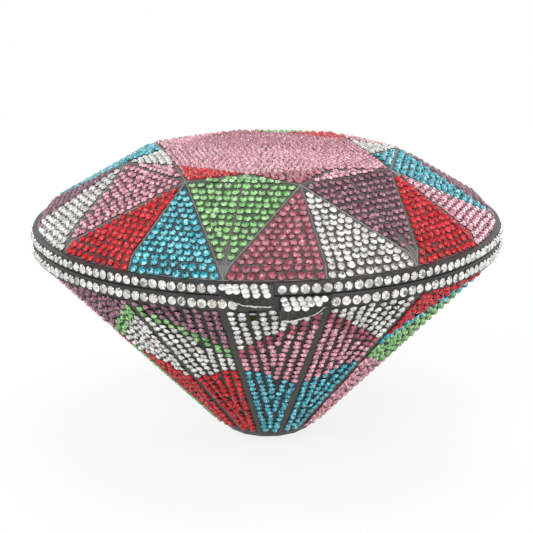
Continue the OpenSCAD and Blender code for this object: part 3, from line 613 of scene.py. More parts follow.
def add_field(colour, outline, first, width=2.6, pitch=3.0, row=2.62, margins=0.7,
              azimuth=None):
    """Fills one outline and keeps the places, widths and directions under the colour. A steep
    strip is given with its middle azimuth and gets a round foot."""
    outline = np.asarray(outline, float)
    at, outward = fill_rows(outline, first, width, pitch, row, margins)
    up = np.tile(outward, (len(at), 1))
    if azimuth is None:
        lid_beds[colour].append(outline)
    else:
        at, up = fan_out(at, azimuth)
        up = unit(up + LEAN_BACK * Z_AXIS)
        parts = HOLED if abs(abs(azimuth) - 90) < 1 else WHOLE
        lid_beds[colour] += [strip_bed(outline, azimuth, *part) for part in parts]
    uphill = Z_AXIS - up * up[:, 2:]
    level = np.linalg.norm(uphill, axis=1, keepdims=True) < 0.15
    uphill = unit(np.where(level, -at * [1, 1, 0], uphill))
    lid_places[colour].append((at, up, uphill, np.full(len(at), width)))


# colours of the star triangles, the triangles beside them, the kites, and the left and right
# triangles on the girdle, for four star points in a row
STARS, SIDES = ["red", "rose", "pink", "white"], ["green", "pink", "cyan", "pink"]
KITES = ["green", "mauve", "cyan", "pink"]
LEFTS, RIGHTS = ["red", "rose", "red", "mauve"], ["cyan", "white", "pink", "white"]
for k in range(8):
    i, n = k % 4, k + 1
    add_field(STARS[i], [corner(k - 1), star(k), corner(k)], 2, 2.25, 2.5, 2.35, [0.75, 0.75, 0.1])
    add_field(SIDES[i], [star(k), star(n), corner(k)], 0, 2.3, 2.6, 2.45, [0.2, 0.6, 0.6])
    if i > 1:
        kite = [star(k), bend(k, 2), bend(n, 0), star(n)]
        add_field(KITES[i], kite, 0 if i == 2 else 2, 2.6, 2.95, 2.9, 0.75)
    else:                                 # these kites are set in two halves, with a line between
        high, low = (star(k) + star(n)) / 2, (bend(k, 2) + bend(n, 0)) / 2
        ends = [p + 0.1 * (q - p)
                for p, q in ((bend(k, 2), star(k)), (low, high), (bend(n, 0), star(n)))]
        for half, sides in (([star(k), ends[0], ends[1], high], [0.35, -1.4, 0.42, 0.5]),
                            ([high, ends[1], ends[2], star(n)], [0.42, -1.4, 0.35, 0.5])):
            add_field(KITES[i], half, 3, 2.5, 2.8, 2.95, sides)
    for colour, j in ((LEFTS[i], 0), (RIGHTS[i], 1)):
        sides = [0.8, 0.0, 0.6] if j == 0 else [0.6, 0.0, 0.8]
        add_field(colour, [star(k), bend(k, j), bend(k, j + 1)], 1, margins=sides)
        azimuth = (STAR_A + STEP * (2 * k - 0.5 + j) + 180) % 360 - 180
        steep = [bend(k, j), foot(2 * k - 1 + j), foot(2 * k + j), bend(k, j + 1)]
        add_field(colour, steep, 1, pitch=3.2, row=2.35, margins=[0.6, -0.05, 0.6, -0.1],
                  azimuth=azimuth)
    lid_beds["pink"].append(np.array([top, corner(k), corner(k + 1)]))
print("fields on the lid:", sum(map(len, lid_places.values())))

# %% [markdown]
# The table is one field of smaller stones. Rows that stop at eight borders would leave eight
# stripes, so its rows are closed rings: octagons, each a little smaller than the last, walked
# round with even steps from a start taken by chance.

# %% Table
TABLE_WIDTH = 1.88                        # crystals of the table


def table_rings(width=TABLE_WIDTH, pitch=1.98, row=1.84):
    """Places and outward directions on the table: ring q is the octagon of the table's corners
    drawn towards the middle; a walk of equal steps along its sides gives the stones."""
    corners = np.array([corner(k) for k in range(8)])
    side = np.linalg.norm(corners[1] - corners[0])
    apothem = STAR_R * np.cos(np.pi / 4)
    found, out = [top[None]], [Z_AXIS[None]]
    for near in np.arange(apothem - width / 2 - 0.45, width * 0.6, -row):
        size = near / apothem
        n = max(6, int(round(8 * side * size / pitch)))
        walk = (np.arange(n) + rng.random()) / n * 8
        k, part = np.floor(walk).astype(int) % 8, (walk % 1)[:, None]
        one, two = corners[k] - top, corners[(k + 1) % 8] - top
        p, q = top + size * one, top + size * two
        found.append(p + part * (q - p) + rng.normal(0, 0.2, (n, 3)) * [1, 1, 0])
        out.append(unit(np.cross(one, two)))
    found = np.concatenate(found)
    found[:, :2] = push_apart(found[:, :2], 0.98 * width, 8)
    return found, np.concatenate(out)


at, outward = table_rings()
away = np.linalg.norm(at[:, :2], axis=1, keepdims=True) > 1
towards_middle = unit(np.where(away, -at * [1, 1, 0], [[0, 1.0, 0]]))
lid_places["pink"].append((at, outward, towards_middle, np.full(len(at), TABLE_WIDTH)))
print("table:", len(at), "crystals")

# %% [markdown]
# The two chain eyelets leave a bare ring in the fields at the sides, so stones that would touch
# them are dropped. Then each colour becomes one piece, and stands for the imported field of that
# colour.

# %% Crystals of the lid
EYELET_R, EYELET_Z, EYELET_CLEAR = 79.53, 83.8, 3.05      # packed place; no stone nearer than this
EYELETS, EYELET_OUT = (np.stack(v) for v in zip(*(
    fan_out(np.array([side * EYELET_R, 0, EYELET_Z]), side * 90.0) for side in (-1, 1))))
for colour, parts in lid_places.items():
    at, up, over, width = (np.concatenate([p[q] for p in parts]) for q in range(4))
    clear = (np.linalg.norm(at[:, None] - EYELETS[None], axis=-1) > EYELET_CLEAR).all(1)
    at, up, over, width = at[clear], up[clear], over[clear], width[clear]
    steep, small = up[:, 2] < 0.7, width < 2                 # steep stones get brighter painted glints and a lighter table
    # stones towards the back are painted brighter, evenly round each stone, as painted light on the
    # far slopes
    azimuth = np.abs(np.degrees(np.arctan2(at[:, 0], -at[:, 1])))
    behind = np.clip((azimuth - 80) / 30, 0, 1) * (width > 2)
    piece = set_stones("crystals_lid_" + colour, SMALL, at - SUNK * up, up, over, width,
                       height=np.where(small, TABLE_STONE_H, STONE_H)[:, None],
                       down=0.24 * (1 - behind), spread=np.where(steep, 0.27, 0.17),
                       level=np.where(small, 0.49, np.where(steep, 0.62, 0.5)) + 0.12 * behind,
                       middle=np.where(steep, 0.32, 0.1), beds=lid_beds[colour])
    dress(piece, "lid", crystal[colour], "crystal_" + colour, "lid_field_" + colour)
    print("lid", colour, len(at), "crystals")

# %% [markdown]
# ## Columns of crystals on the base
# The base is filled differently. On each of its sixteen facets the columns run parallel to the
# two long edges, from the girdle down, and meet in V shapes along the middle. Down a column the
# stones nearly touch, and between the columns the dark metal shows. Where two columns run
# together, a stone that would lie on another is left out.

# %% Columns on one facet of the base
def base_corner(j, share):
    """Point on edge j of the base, share of the way from the girdle down to the rounded foot."""
    z = BASE_LOW + (EDGE_Z - BASE_LOW) * np.asarray(share, float)
    return pol(pav(z), FIRST + STEP * j, z)


def fill_columns(j, width=2.4, first=2.4, highest=2.05, gap=3.3, step=3.16):
    """Plane coordinates (x along the top edge, y down the slope) of the crystals of facet j. The
    first column starts first from the edge and highest under the girdle; columns are gap apart
    and stones step. Column i follows x = first + gap i + lean s, with s the way down."""
    a, b, c, d = base_corner(j, 0), base_corner(j + 1, 0), base_corner(j + 1, 1), base_corner(j, 1)
    along = unit(b - a)
    down = unit((c + d) / 2 - (a + b) / 2)
    w0, w1 = np.linalg.norm(b - a), np.linalg.norm(c - d)
    length = np.linalg.norm((c + d - a - b) / 2)
    lean = (w0 - w1) / 2 / length
    kept = np.zeros((0, 2))
    s = np.arange(highest, length - width / 2, step)
    for i in range(6):
        x = first + gap * i + lean * s
        ok = x < w0 / 2 - 0.25
        for sign in (0, 1):
            shift = step * 0.25 * (i % 2) + 0.3 * sign
            new = np.stack([np.where(sign, w0 - x, x), s + shift], -1)[ok]
            if len(kept):
                far = np.linalg.norm(new[:, None] - kept[None], axis=-1).min(1) > 0.82 * width
                new = new[far]
            kept = np.concatenate([kept, new])
    middle = np.stack([np.full(len(s), w0 / 2), s], -1)
    for spot in middle:
        if np.linalg.norm(kept - spot, axis=1).min() > 0.85 * width:
            kept = np.concatenate([kept, [spot]])
    kept = push_apart(kept + rng.normal(0, 1, kept.shape) * [0.12, 0.2], width)
    return kept, a, along, down, (w0, length, lean)


# %% [markdown]
# The colour of a stone depends on where it lies. Straight lines cross each facet from edge to
# edge and split it into a top field, a line about two stones wide, a lozenge and a long low field.
# Neighbouring facets mirror each other, so the fields close into triangles and diamonds.

# %% Crystals of the base
TOPS, LINES = ["white", "red", "pink", "mauve"], ["rose", "cyan", "white", "green"]
LOZENGES, LOWS = ["pink", "green", "rose", "white"], ["cyan", "pink", "green", "red"]
CUTS = [(0.294, 0.004), (0.36, 0.068), (0.407, 0.552)]     # shares at the plain edge, at the other
LOST = ((9.1, 1.9), (9.2, 5.2))           # two stones missing beside the clasp, on facet 0
base_places, base_beds = ({colour: [] for colour in TONES} for _ in range(2))
for j in range(16):
    spots, origin, along, down, (w0, length, lean) = fill_columns(j)
    outward = unit(np.cross(down, along))
    if j == 0:
        lost = [np.linalg.norm(spots - p, axis=1).argmin() for p in LOST]
        empty_seats = origin + spots[lost][:, :1] * along + spots[lost][:, 1:] * down
        seat_out, seat_down = outward, down
        spots = np.delete(spots, lost, axis=0)
    even, s = j % 2 == 0, (j // 2) % 4
    side = spots[:, 0] if even else w0 - spots[:, 0]        # distance from the plain edge
    across = (side - lean * spots[:, 1]) / (w0 - 2 * lean * spots[:, 1])
    share = spots[:, 1] / length
    fields = (TOPS[s], LINES[s], LOZENGES[s], LOWS[s])
    cuts = [(0.0, 0.0), *CUTS, (1.0, 1.0)]
    for (g, h), (g2, h2), field in zip(cuts[:-1], cuts[1:], fields):
        left, right, low_right, low_left = (g, h, h2, g2) if even else (h, g, g2, h2)
        corners = [base_corner(j, left), base_corner(j + 1, right),
                   base_corner(j + 1, low_right), base_corner(j, low_left)]
        # each corner is drawn in a little, sideways (q) and up or down the slope (r)
        base_beds[field].append(np.array([
            p + 0.05 * (q - p) + 0.01 * (r - p)
            for p, q, r in zip(corners, [corners[i] for i in (1, 0, 3, 2)], corners[::-1])])[::-1])
    names = np.array([TOPS[s]] * len(spots), dtype=object)
    for (g, h), field in zip(CUTS, fields[1:]):
        # a straight line in the plane: compare heights at the stone's own place across
        xg, xh = lean * g * length, w0 - lean * h * length
        limit = g + (h - g) * (side - xg) / (xh - xg)
        names[share > limit] = field
    at = origin + spots[:, :1] * along + spots[:, 1:] * down
    for colour in sorted(set(names)):
        pick = names == colour
        base_places[colour].append((at[pick], np.tile(outward, (pick.sum(), 1)),
                                    np.tile(-down, (pick.sum(), 1))))
# under the girdle the stones get their own levels of painted glint: the deep colours darker than on
# the lid, as painted shade, and the clear ones lighter; the red stones are a little wider and
# nearly close their rows
LEVELS = {"red": 0.29, "cyan": 0.37, "rose": 0.34, "green": 0.42, "pink": 0.42, "mauve": 0.5,
          "white": 0.46}
BASE_WIDTH, RED_WIDTH, BASE_STONE_H = 2.44, 2.58, 1.1
for colour, parts in base_places.items():
    at, up, over = (np.concatenate([p[q] for p in parts]) for q in range(3))
    # painted light and shade: each stone's upper facets are lighter (down below 0), and the glue
    # beds are much darker than on the lid (bed_light), as painted shade under the girdle
    piece = set_stones("crystals_base_" + colour, SMALL, at - SUNK * up, up, over,
                       RED_WIDTH if colour == "red" else BASE_WIDTH, BASE_STONE_H, down=-0.2,
                       spread=0.17, level=LEVELS[colour], middle=0.2, tilt=0.09,
                       beds=base_beds[colour], bed_light=0.17)
    dress(piece, "base", crystal[colour], "crystal_" + colour, "base_field_" + colour)
    print("base", colour, len(at), "crystals")

# %% [markdown]
# Two stones are missing beside the clasp. An empty seat is a shallow dish: the upper one is nearly
# black, painted shade of the empty hole, with a sliver of foil left at its lower edge; the lower
# one holds olive glue with nearly black patches.

# %% Empty seats
def disc(name, middle, out, profile, sides=28, ripple=0.0):
    """Turned dish: the profile (radius, height) is carried round the axis out; ripple makes its
    edge uneven by that share of the radius."""
    out, profile = unit(np.asarray(out, float)), np.array(profile)
    e1 = unit(np.cross(Z_AXIS, out))
    e2 = np.cross(out, e1)
    a = 2 * np.pi * np.arange(sides) / sides
    r = profile[:, :1] * (1 + ripple * np.sin(3 * a + 1) + 0.6 * ripple * np.sin(5 * a))
    points = (middle + r[..., None] * (np.cos(a)[:, None] * e1 + np.sin(a)[:, None] * e2)
              + profile[:, 1][:, None, None] * out)
    return put_mesh(name, points, grid_faces(len(profile), sides, wrap_cols=True),
                    np.full((len(profile) - 1) * sides, 4), smooth=True)


dish = [(0, -0.1), (1.2, -0.1), (1.26, 0.1), (1.1, 0.34), (0.95, 0.16), (0.5, 0.09), (0, 0.08)]
for i, (middle, tone) in enumerate(zip(empty_seats, ((10, 9, 8), (70, 64, 26)))):
    seat_shade_and_glue, tree, shader = new_material("old_glue_%d" % (i + 1), Roughness=0.8,
                                          Specular_IOR_Level=0.1)
    patch = noise(tree, here(tree), 700.0, 3.0)
    # nearly black: painted shade in the empty seat, mixed with the seat's own tone
    mixed = blend_colours(tree, patch, srgb(8, 7, 6), srgb(*tone))
    tree.links.new(mixed, shader.inputs["Base Color"])
    piece = tidy(disc("empty_seat_%d" % (i + 1), middle, seat_out, dish, ripple=0.05))
    dress(piece, "base", seat_shade_and_glue, "girdle_metal")
sliver = [(0, 0.0), (0.5, 0.0), (0.52, 0.12), (0, 0.3)]
along_seat = unit(np.cross(Z_AXIS, seat_out))
for i, x in enumerate((-0.55, 0.0, 0.55)):
    spot = empty_seats[0] + x * along_seat + 1.05 * seat_down + 0.1 * seat_out
    piece = tidy(disc("foil_rest_%d" % (i + 1), spot, seat_out, sliver, 14, 0.12))
    dress(piece, "base", solder, "girdle_metal")
print("empty seats:", len(empty_seats))

# %% [markdown]
# ## The two rows round the girdle
# These clear stones are larger and stand upright on the bands, so they use the pattern with more
# facets. The rows stop at the clasp and at the hinge.

# %% Girdle rows
LEFT_STEP, RIGHT_STEP, HINGE_SIDE = 2.2, 2.26, 170.4      # degrees; the rows end at the hinge
GIRDLE_WIDTH, GIRDLE_STONE_H = 2.95, 0.95


def girdle_row(name, z, left, right, body, node):
    """One row round the girdle at height z. left and right are the azimuths of the first stones
    on each side of the clasp; from the last of each list even steps lead back to the hinge."""
    a = np.r_[left, np.arange(left[-1] - LEFT_STEP, -HINGE_SIDE, -LEFT_STEP),
              right, np.arange(right[-1] + RIGHT_STEP, HINGE_SIDE, RIGHT_STEP)]
    a = a + rng.normal(0, 0.05, len(a))
    at, up = pol(RIM_R - SUNK, a, z + rng.normal(0, 0.05, len(a))), pol(1, a, 0)
    piece = set_stones(name, LARGE, at, up, np.tile(Z_AXIS, (len(a), 1)), GIRDLE_WIDTH,
                       GIRDLE_STONE_H, down=0.12, spread=0.3, level=0.56, middle=0.42)
    dress(piece, body, crystal["white"], "crystal_white", node)
    print(name, len(a))


girdle_row("crystals_lid_girdle", (LID_LOW + LID_TOP) / 2 - 0.1, [-13.2],
           [1.4, 3.8, 6.2, 8.6, 11.0], "lid", "lid_rim_stones")
girdle_row("crystals_base_girdle", (BASE_LOW + BASE_TOP) / 2 - 0.3, [-8.8], [12.8], "base",
           "base_rim_stones")

# %% [markdown]
# ## Raised lines between the facets of the lid
# Thin bright lines run along the borders of the fields: rods in a lighter copy of the case's metal,
# a painted highlight on the raised edges. Each is a slim rod sunk to half its thickness in the
# edge; the ring of rods round the crown's foot stands for a highlight along the lid's lower edge.
# All rods are made together: a ring of points at each end of each line.

# %% Rods
def rods(name, starts, ends, radius, sides=8):
    """Rods between pairs of points: a ring round each end, in the plane square to the rod."""
    starts, ends = np.asarray(starts, float), np.asarray(ends, float)
    n, way = len(starts), unit(ends - starts)
    helper = np.where(np.abs(way[:, 2:]) < 0.9, [[0, 0, 1.0]], [[1.0, 0, 0]])
    e1 = unit(np.cross(way, helper))
    radius = np.broadcast_to(np.asarray(radius, float), n)[:, None, None]
    ring = radius * circle(e1, np.cross(way, e1), sides)
    points = np.concatenate([starts[:, None] + ring, ends[:, None] + ring], 1)
    j = np.arange(sides)
    side = np.stack([j, (j + 1) % sides, sides + (j + 1) % sides, sides + j], -1).ravel()
    one = np.concatenate([side, j[::-1], sides + j])
    counts = np.concatenate([np.full(sides, 4), [sides, sides]])
    corners = one[None] + (np.arange(n) * 2 * sides)[:, None]
    return put_mesh(name, points, corners, np.tile(counts, n))


# each line: start, end, radius; s moves a line to the side, for bundles of finer ones
lines = []
for k in range(8):
    lines += [(star(k), corner(k), 0.16), (corner(k), star(k + 1), 0.16)]
    for j in range(3):
        lines += [(star(k), bend(k, j), 0.22), (bend(k, j), foot(2 * k + j - 1), 0.22)]
    high, low = (star(k) + star(k + 1)) / 2, (bend(k, 2) + bend(k + 1, 0)) / 2
    side = unit(star(k + 1) - star(k))
    if k % 4 < 2:
        lines += [(high + s * side, low + s * side, 0.13) for s in (-0.42, 0.42)]
    upper = low + 0.22 * (high - low)
    lines += [(upper + s * side, low + 0.3 * s * side, 0.09) for s in (-2.2, -1.3, 1.3, 2.2)]
    lines += [(low + s * side, foot(2 * k + 1) + 0.2 * s * side, 0.11)
              for s in (-1.1, -0.4, 0.4, 1.1)]
PART, LINE_Z = 3.75, LID_TOP + 0.04       # a painted highlight round the crown's foot, a line in 96 short parts
lines += [(pol(CROWN_R, a, LINE_Z), pol(CROWN_R, a + PART, LINE_Z), 0.15)
          for a in PART * np.arange(96)]
dress(rods("lid_ridges_and_edge_highlight", *zip(*lines)), "lid", ridge_metal_highlight, "shell_metal")
print("raised lines:", len(lines))

# %% [markdown]
# ## Eyes, screws and rivets
# The small round fittings are turned parts. A profile in radius and height is carried round an
# axis, which is the shape of every rivet head, screw head and eyelet.

# %% Turned parts
def turned(profile, sides=40, closed=False):
    """Points and faces of a profile (radius, height) carried round the z axis. A profile that
    starts and ends on the axis is closed there by fans; a closed one is a ring."""
    profile = np.asarray(profile, float)
    a = 2 * np.pi * np.arange(sides) / sides
    points = np.stack([profile[:, :1] * np.cos(a), profile[:, :1] * np.sin(a),
                       np.repeat(profile[:, 1:], sides, 1)], -1)
    faces = grid_faces(len(profile), sides, wrap_rows=closed, wrap_cols=True)
    return points.reshape(-1, 3), faces


def place_turned(name, profile, middles, outs, sides=40, closed=False):
    """Copies of a turned part at middles, its axis along outs. Doubled points are merged."""
    base, faces = turned(profile, sides, closed)
    middles, outs = np.asarray(middles, float), unit(np.asarray(outs, float))
    helper = np.where(np.abs(outs[:, 2:]) < 0.9, [[0, 0, 1.0]], [[1.0, 0, 0]])
    e1 = unit(np.cross(helper, outs))
    e2 = np.cross(outs, e1)
    points = (middles[:, None] + base[None, :, :1] * e1[:, None] + base[None, :, 1:2] * e2[:, None]
              + base[None, :, 2:] * outs[:, None])
    corners = faces[None] + (np.arange(len(middles)) * len(base))[:, None, None]
    return tidy(put_mesh(name, points, corners, np.full(corners.size // 4, 4), smooth=True))


sleeve = [(1.0, -2.9), (1.45, -2.9), (1.45, 0.0), (1.95, 0.0), (2.02, 0.22), (1.85, 0.42),
          (1.5, 0.5), (1.15, 0.42), (1.0, 0.2)]
for middle, out, name in zip(EYELETS, EYELET_OUT, ("eyelet_left", "eyelet_right")):
    piece = place_turned("piece_" + name, sleeve, middle[None], out[None], closed=True)
    dress(piece, "lid", lug_metal, "girdle_metal", name)
print("eyelets at", np.round(EYELETS, 1).tolist())

# %% [markdown]
# ## The two lugs of the clasp
# Each lug is a block that is thick at its square end and runs out to nothing at its tip. Cast and
# polished metal has no sharp edges, so the lug is lofted: at each of many places round the girdle
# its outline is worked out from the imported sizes, the corners are cut twice, and the rings of
# points are joined.

# %% Lug loft
# end and tip are azimuths; top and under are (distance from the girdle, height over the seam);
# from azimuth rise_from on, the lower face rises towards the tip with this slope
LUG_REACH, TIP_REACH = 4.7, 0.3           # how far a lug stands out at its square end and its tip
CLASP = dict(end=-0.3, tip=-11.6, top=[(0.3, 3.8), (1, 4), (2.8, 2.8), (4.4, 1.4), (6.2, 0.4)],
             under=[(0.3, -2.2), (6.2, -1.8)], rise_from=-6.5, rise=np.tan(np.radians(16.5)))
CATCH = dict(end=0.9, tip=11.6, top=[(0.0, -0.4), (1, -0.4), (2.8, -1.4), (4.4, -2.8), (6.2, -3.7)],
             under=[(0.0, -6.8), (6.2, -6.2)], rise_from=4.5, rise=np.tan(np.radians(9)))


def lug_reach(lug, a):
    """How far a lug stands out of the girdle at azimuth a: its outer face is a round bar whose
    centre is at distance d, so the face's radius is
    d cos b + root of (bar radius^2 - (d sin b)^2)."""
    r1, r0, b = RIM_R + LUG_REACH, RIM_R + TIP_REACH, np.radians(a - lug["end"])
    d = (r1 ** 2 - r0 ** 2) / (2 * (r1 - r0 * np.cos(np.radians(lug["tip"] - lug["end"]))))
    return d * np.cos(b) + np.sqrt((r1 - d) ** 2 - (d * np.sin(b)) ** 2) - RIM_R


def lug_edge(lug, a, r, which):
    """Height over the seam of a lug's upper ("top") or lower ("under") face at distance r from
    the girdle; towards the tip the lower face rises along a slope."""
    line = np.array(lug[which])
    z = np.interp(r, line[:, 0], line[:, 1])
    if which == "under":
        toward_tip = np.sign(lug["tip"]) * (a - lug["rise_from"])
        z = z + np.maximum(0, toward_tip) * np.radians(1) * RIM_R * lug["rise"]
    return z


def cut_corners(rings):
    """Cuts the corners of closed rings: each side is replaced by its points at 1/4 and 3/4."""
    after = np.roll(rings, -1, axis=1)
    return np.stack([0.75 * rings + 0.25 * after, 0.25 * rings + 0.75 * after], 2).reshape(
        len(rings), -1, rings.shape[-1])


def lug_mesh(lug):
    """Points and faces of a lug. The outline at each azimuth, from the top's inner edge round to
    the underside's, in distance from the girdle and height over the seam, is cut twice."""
    u = np.linspace(0, 1, 44)
    a = lug["tip"] + (lug["end"] - lug["tip"]) * np.r_[u ** 0.9, 1.0]
    inner = lug["top"][0][0]
    reach = np.maximum(lug_reach(lug, np.r_[a[:-1], lug["end"]]), inner + 0.15)
    share = np.r_[0, 0.03, np.linspace(0.12, 0.94, 10), 1.0]
    top_r = inner + (reach - inner)[:, None] * share
    low_r = top_r[:, ::-1][:, ::3]
    top_z, low_z = (lug_edge(lug, a[:, None], r, w) for r, w in ((top_r, "top"), (low_r, "under")))
    low_z = np.minimum(low_z, top_z[:, ::-1][:, ::3] - 0.3)
    face_z = top_z[:, -1:] + (low_z[:, :1] - top_z[:, -1:]) * np.array([0.12, 0.5, 0.88])
    rings = np.stack([np.concatenate([top_r, np.repeat(top_r[:, -1:], 3, 1), low_r], 1),
                      np.concatenate([top_z, face_z, low_z], 1)], -1)
    rings = cut_corners(cut_corners(rings))
    centre = rings[-1].mean(0)
    rings[-1] = centre + (rings[-1] - centre) * 0.9
    a[-2] = a[-1] - np.sign(a[-1] - a[0]) * 0.16
    points = pol(RIM_R + rings[..., 0], a[:, None], SEAM_Z + rings[..., 1])
    n, m = points.shape[:2]
    faces = grid_faces(n, m, wrap_cols=True)
    return points.reshape(-1, 3), faces, np.arange(m), (n - 1) * m + np.arange(m)


def lug_piece(name, lug, extra=None):
    """A lug as one closed mesh; extra is one more block, for the tooth of the clasp."""
    points, faces, first, last = lug_mesh(lug)
    corners = np.r_[faces.ravel(), first[::-1], last]
    counts = np.r_[np.full(len(faces), 4), len(first), len(last)]
    if extra:
        r, z, a = (np.array(extra[key], float) for key in ("r", "z", "a"))
        block = pol(r[[0, 1, 1, 0, 0, 1, 1, 0]], a[[0, 0, 1, 1, 0, 0, 1, 1]],
                    z[[0, 0, 0, 0, 1, 1, 1, 1]])
        sides = np.array([[0, 3, 2, 1], [4, 5, 6, 7], [0, 1, 5, 4], [1, 2, 6, 5], [2, 3, 7, 6],
                          [3, 0, 4, 7]])
        corners = np.r_[corners, (sides + len(points)).ravel()]
        counts = np.r_[counts, np.full(6, 4)]
        points = np.concatenate([points, block])
    return tidy(put_mesh(name, points, corners, counts))


tooth = dict(r=(RIM_R - 1.05, RIM_R + 0.8), z=(SEAM_Z - 1.9, SEAM_Z - 1.2), a=(-6.0, -5.39))
clasp_piece = lug_piece("clasp_lug_rounded", CLASP, tooth)
dress(clasp_piece, "clasp", lug_metal, "lug_metal", "clasp_lug")
catch_piece = lug_piece("catch_lug_rounded", CATCH)
dress(catch_piece, "base", lug_metal, "lug_metal", "catch_lug")
print("lug faces:", len(clasp_piece.data.polygons), len(catch_piece.data.polygons))

# %% [markdown]
# ## Crystals on the lugs
# The sloping top of each lug carries short columns of crystals, three deep where the lug is
# thick and one at its tip. A place on the slope is found by its distance along the slope's line.

# %% Lug crystals
def lug_stones(lug, azimuths, rows, first, step=1.52):
    """Places, outward directions and uphill directions of crystals on a lug. The slope's line is
    walked from the girdle outwards; a crystal sits at first + step * i along it. Shorter columns
    start a little further out, and each column slants, away from the square end of the clasp."""
    line = np.array(lug["top"])
    far = np.r_[0, np.cumsum(np.linalg.norm(np.diff(line, axis=0), axis=1))]

    def on_line(walk):
        """Distance from the girdle and height at a walked length."""
        return np.array([np.interp(walk, far, line[:, 0]), np.interp(walk, far, line[:, 1])])

    at, up, over = [], [], []
    for a, count in zip(azimuths, rows):
        for i in range(count):
            walk, azimuth = first + step * i + 0.15 * (3 - count), a + 0.3 * (i - 1)
            (r, z), (run, drop) = on_line(walk), on_line(walk + 0.5) - on_line(walk - 0.5)
            out = pol(1, azimuth, 0)
            at.append(pol(RIM_R + r, azimuth, SEAM_Z + z))
            up.append(unit(-drop * out + run * Z_AXIS))
            over.append(-unit(run * out + drop * Z_AXIS))
    return np.array(at), np.array(up), np.array(over)


LUG_WIDTH, LUG_STONE_H, LUG_SUNK = 2.36, 0.95, 0.08
COLUMNS = (3, 3, 3, 2, 2, 1)              # crystals in each column, from the square end to the tip
for name, lug, azimuths, first, body, node in (
        ("crystals_clasp", CLASP, (-2.0, -4.05, -6.05, -7.75, -9.2, -10.4), 1.75, "clasp",
         "clasp_stones"),
        ("crystals_catch", CATCH, (1.95, 3.75, 5.4, 7.0, 8.6, 10.2), 1.95, "base",
         "catch_stones")):
    at, up, over = lug_stones(lug, azimuths, COLUMNS, first)
    piece = set_stones(name, LARGE, at - LUG_SUNK * up, up, over, LUG_WIDTH, LUG_STONE_H,
                       down=0.42, spread=0.24, level=0.57, middle=0.5, tilt=0.09)
    dress(piece, body, crystal["white"], "crystal_white", node)
    print(name, len(at))

# %% [markdown]
# ## Solder along the lugs
# Under each lug runs a thin uneven bead of bright solder. A bead is a tube: rings of points
# square to a path, with a radius that changes along it.

# %% Solder beads
def tube(name, path, radius, sides=10):
    """Closed tube along a path. e1 and e2 are square to the path's direction; ring point j is
    path + radius (e1 cos + e2 sin); the ends are capped."""
    path = np.asarray(path, float)
    way = unit(np.gradient(path, axis=0))
    e1 = unit(np.cross(way, Z_AXIS))
    radius = np.broadcast_to(radius, len(path))[:, None, None]
    points = path[:, None] + radius * circle(e1, np.cross(way, e1), sides)
    faces, end = grid_faces(len(path), sides, wrap_cols=True), np.arange(sides)
    corners = np.r_[faces.ravel(), end[::-1], (len(path) - 1) * sides + end]
    counts = np.r_[np.full(len(faces), 4), sides, sides]
    return tidy(put_mesh(name, points, corners, counts, smooth=True))


def bead(name, lug, spots, thick, body):
    """Bead of solder on a lug's lower outer edge through (azimuth, height) spots. thick gives its
    radius at 0, 1, 5, 10 and 11 degrees from the square end; the sines make both uneven."""
    spots = np.array(spots)
    a = np.linspace(spots[0, 0], spots[-1, 0], 90)
    z = np.interp(a, *(spots[np.argsort(spots[:, 0])].T))
    z = np.convolve(np.pad(z, 4, "edge"), np.ones(9) / 9, "valid")      # corners smoothed
    z = z + 0.13 * np.sin(3.1 * a) * np.sin(1.7 * a + 1)
    shape = np.interp(np.abs(a - lug["end"]), [0, 1, 5, 10, 11], thick)
    radius = shape * (1 + 0.4 * np.sin(4.3 * a) * np.sin(2.9 * a))
    piece = tube(name, pol(RIM_R + lug_reach(lug, a) - 0.12, a, SEAM_Z + z), radius)
    return dress(piece, body, solder, "lug_metal")


bead("solder_clasp", CLASP, [(-0.9, -1.9), (-2.9, -2.0), (-4.4, -2.15), (-5.2, -1.8), (-6.3, -1.95),
                             (-7.6, -1.5)], [0.16, 0.2, 0.24, 0.24, 0.2], "clasp")
bead("solder_catch", CATCH, [(1.0, -6.65), (1.8, -6.75), (3.0, -6.7), (5.7, -6.1), (8.4, -5.2),
                             (10.3, -3.7)], [0.3, 0.34, 0.22, 0.14, 0.1], "base")

# %% [markdown]
# ## Screws of the hinge
# Three slotted screws hold each hinge leaf. A slotted head is two half discs on a thin disc, so
# that the slot is a real gap. All are prisms: an outline, and the same outline further out.

# %% Slotted screws
SLOT_HALF = 0.14                          # half the slot's width; the head's radius is 1


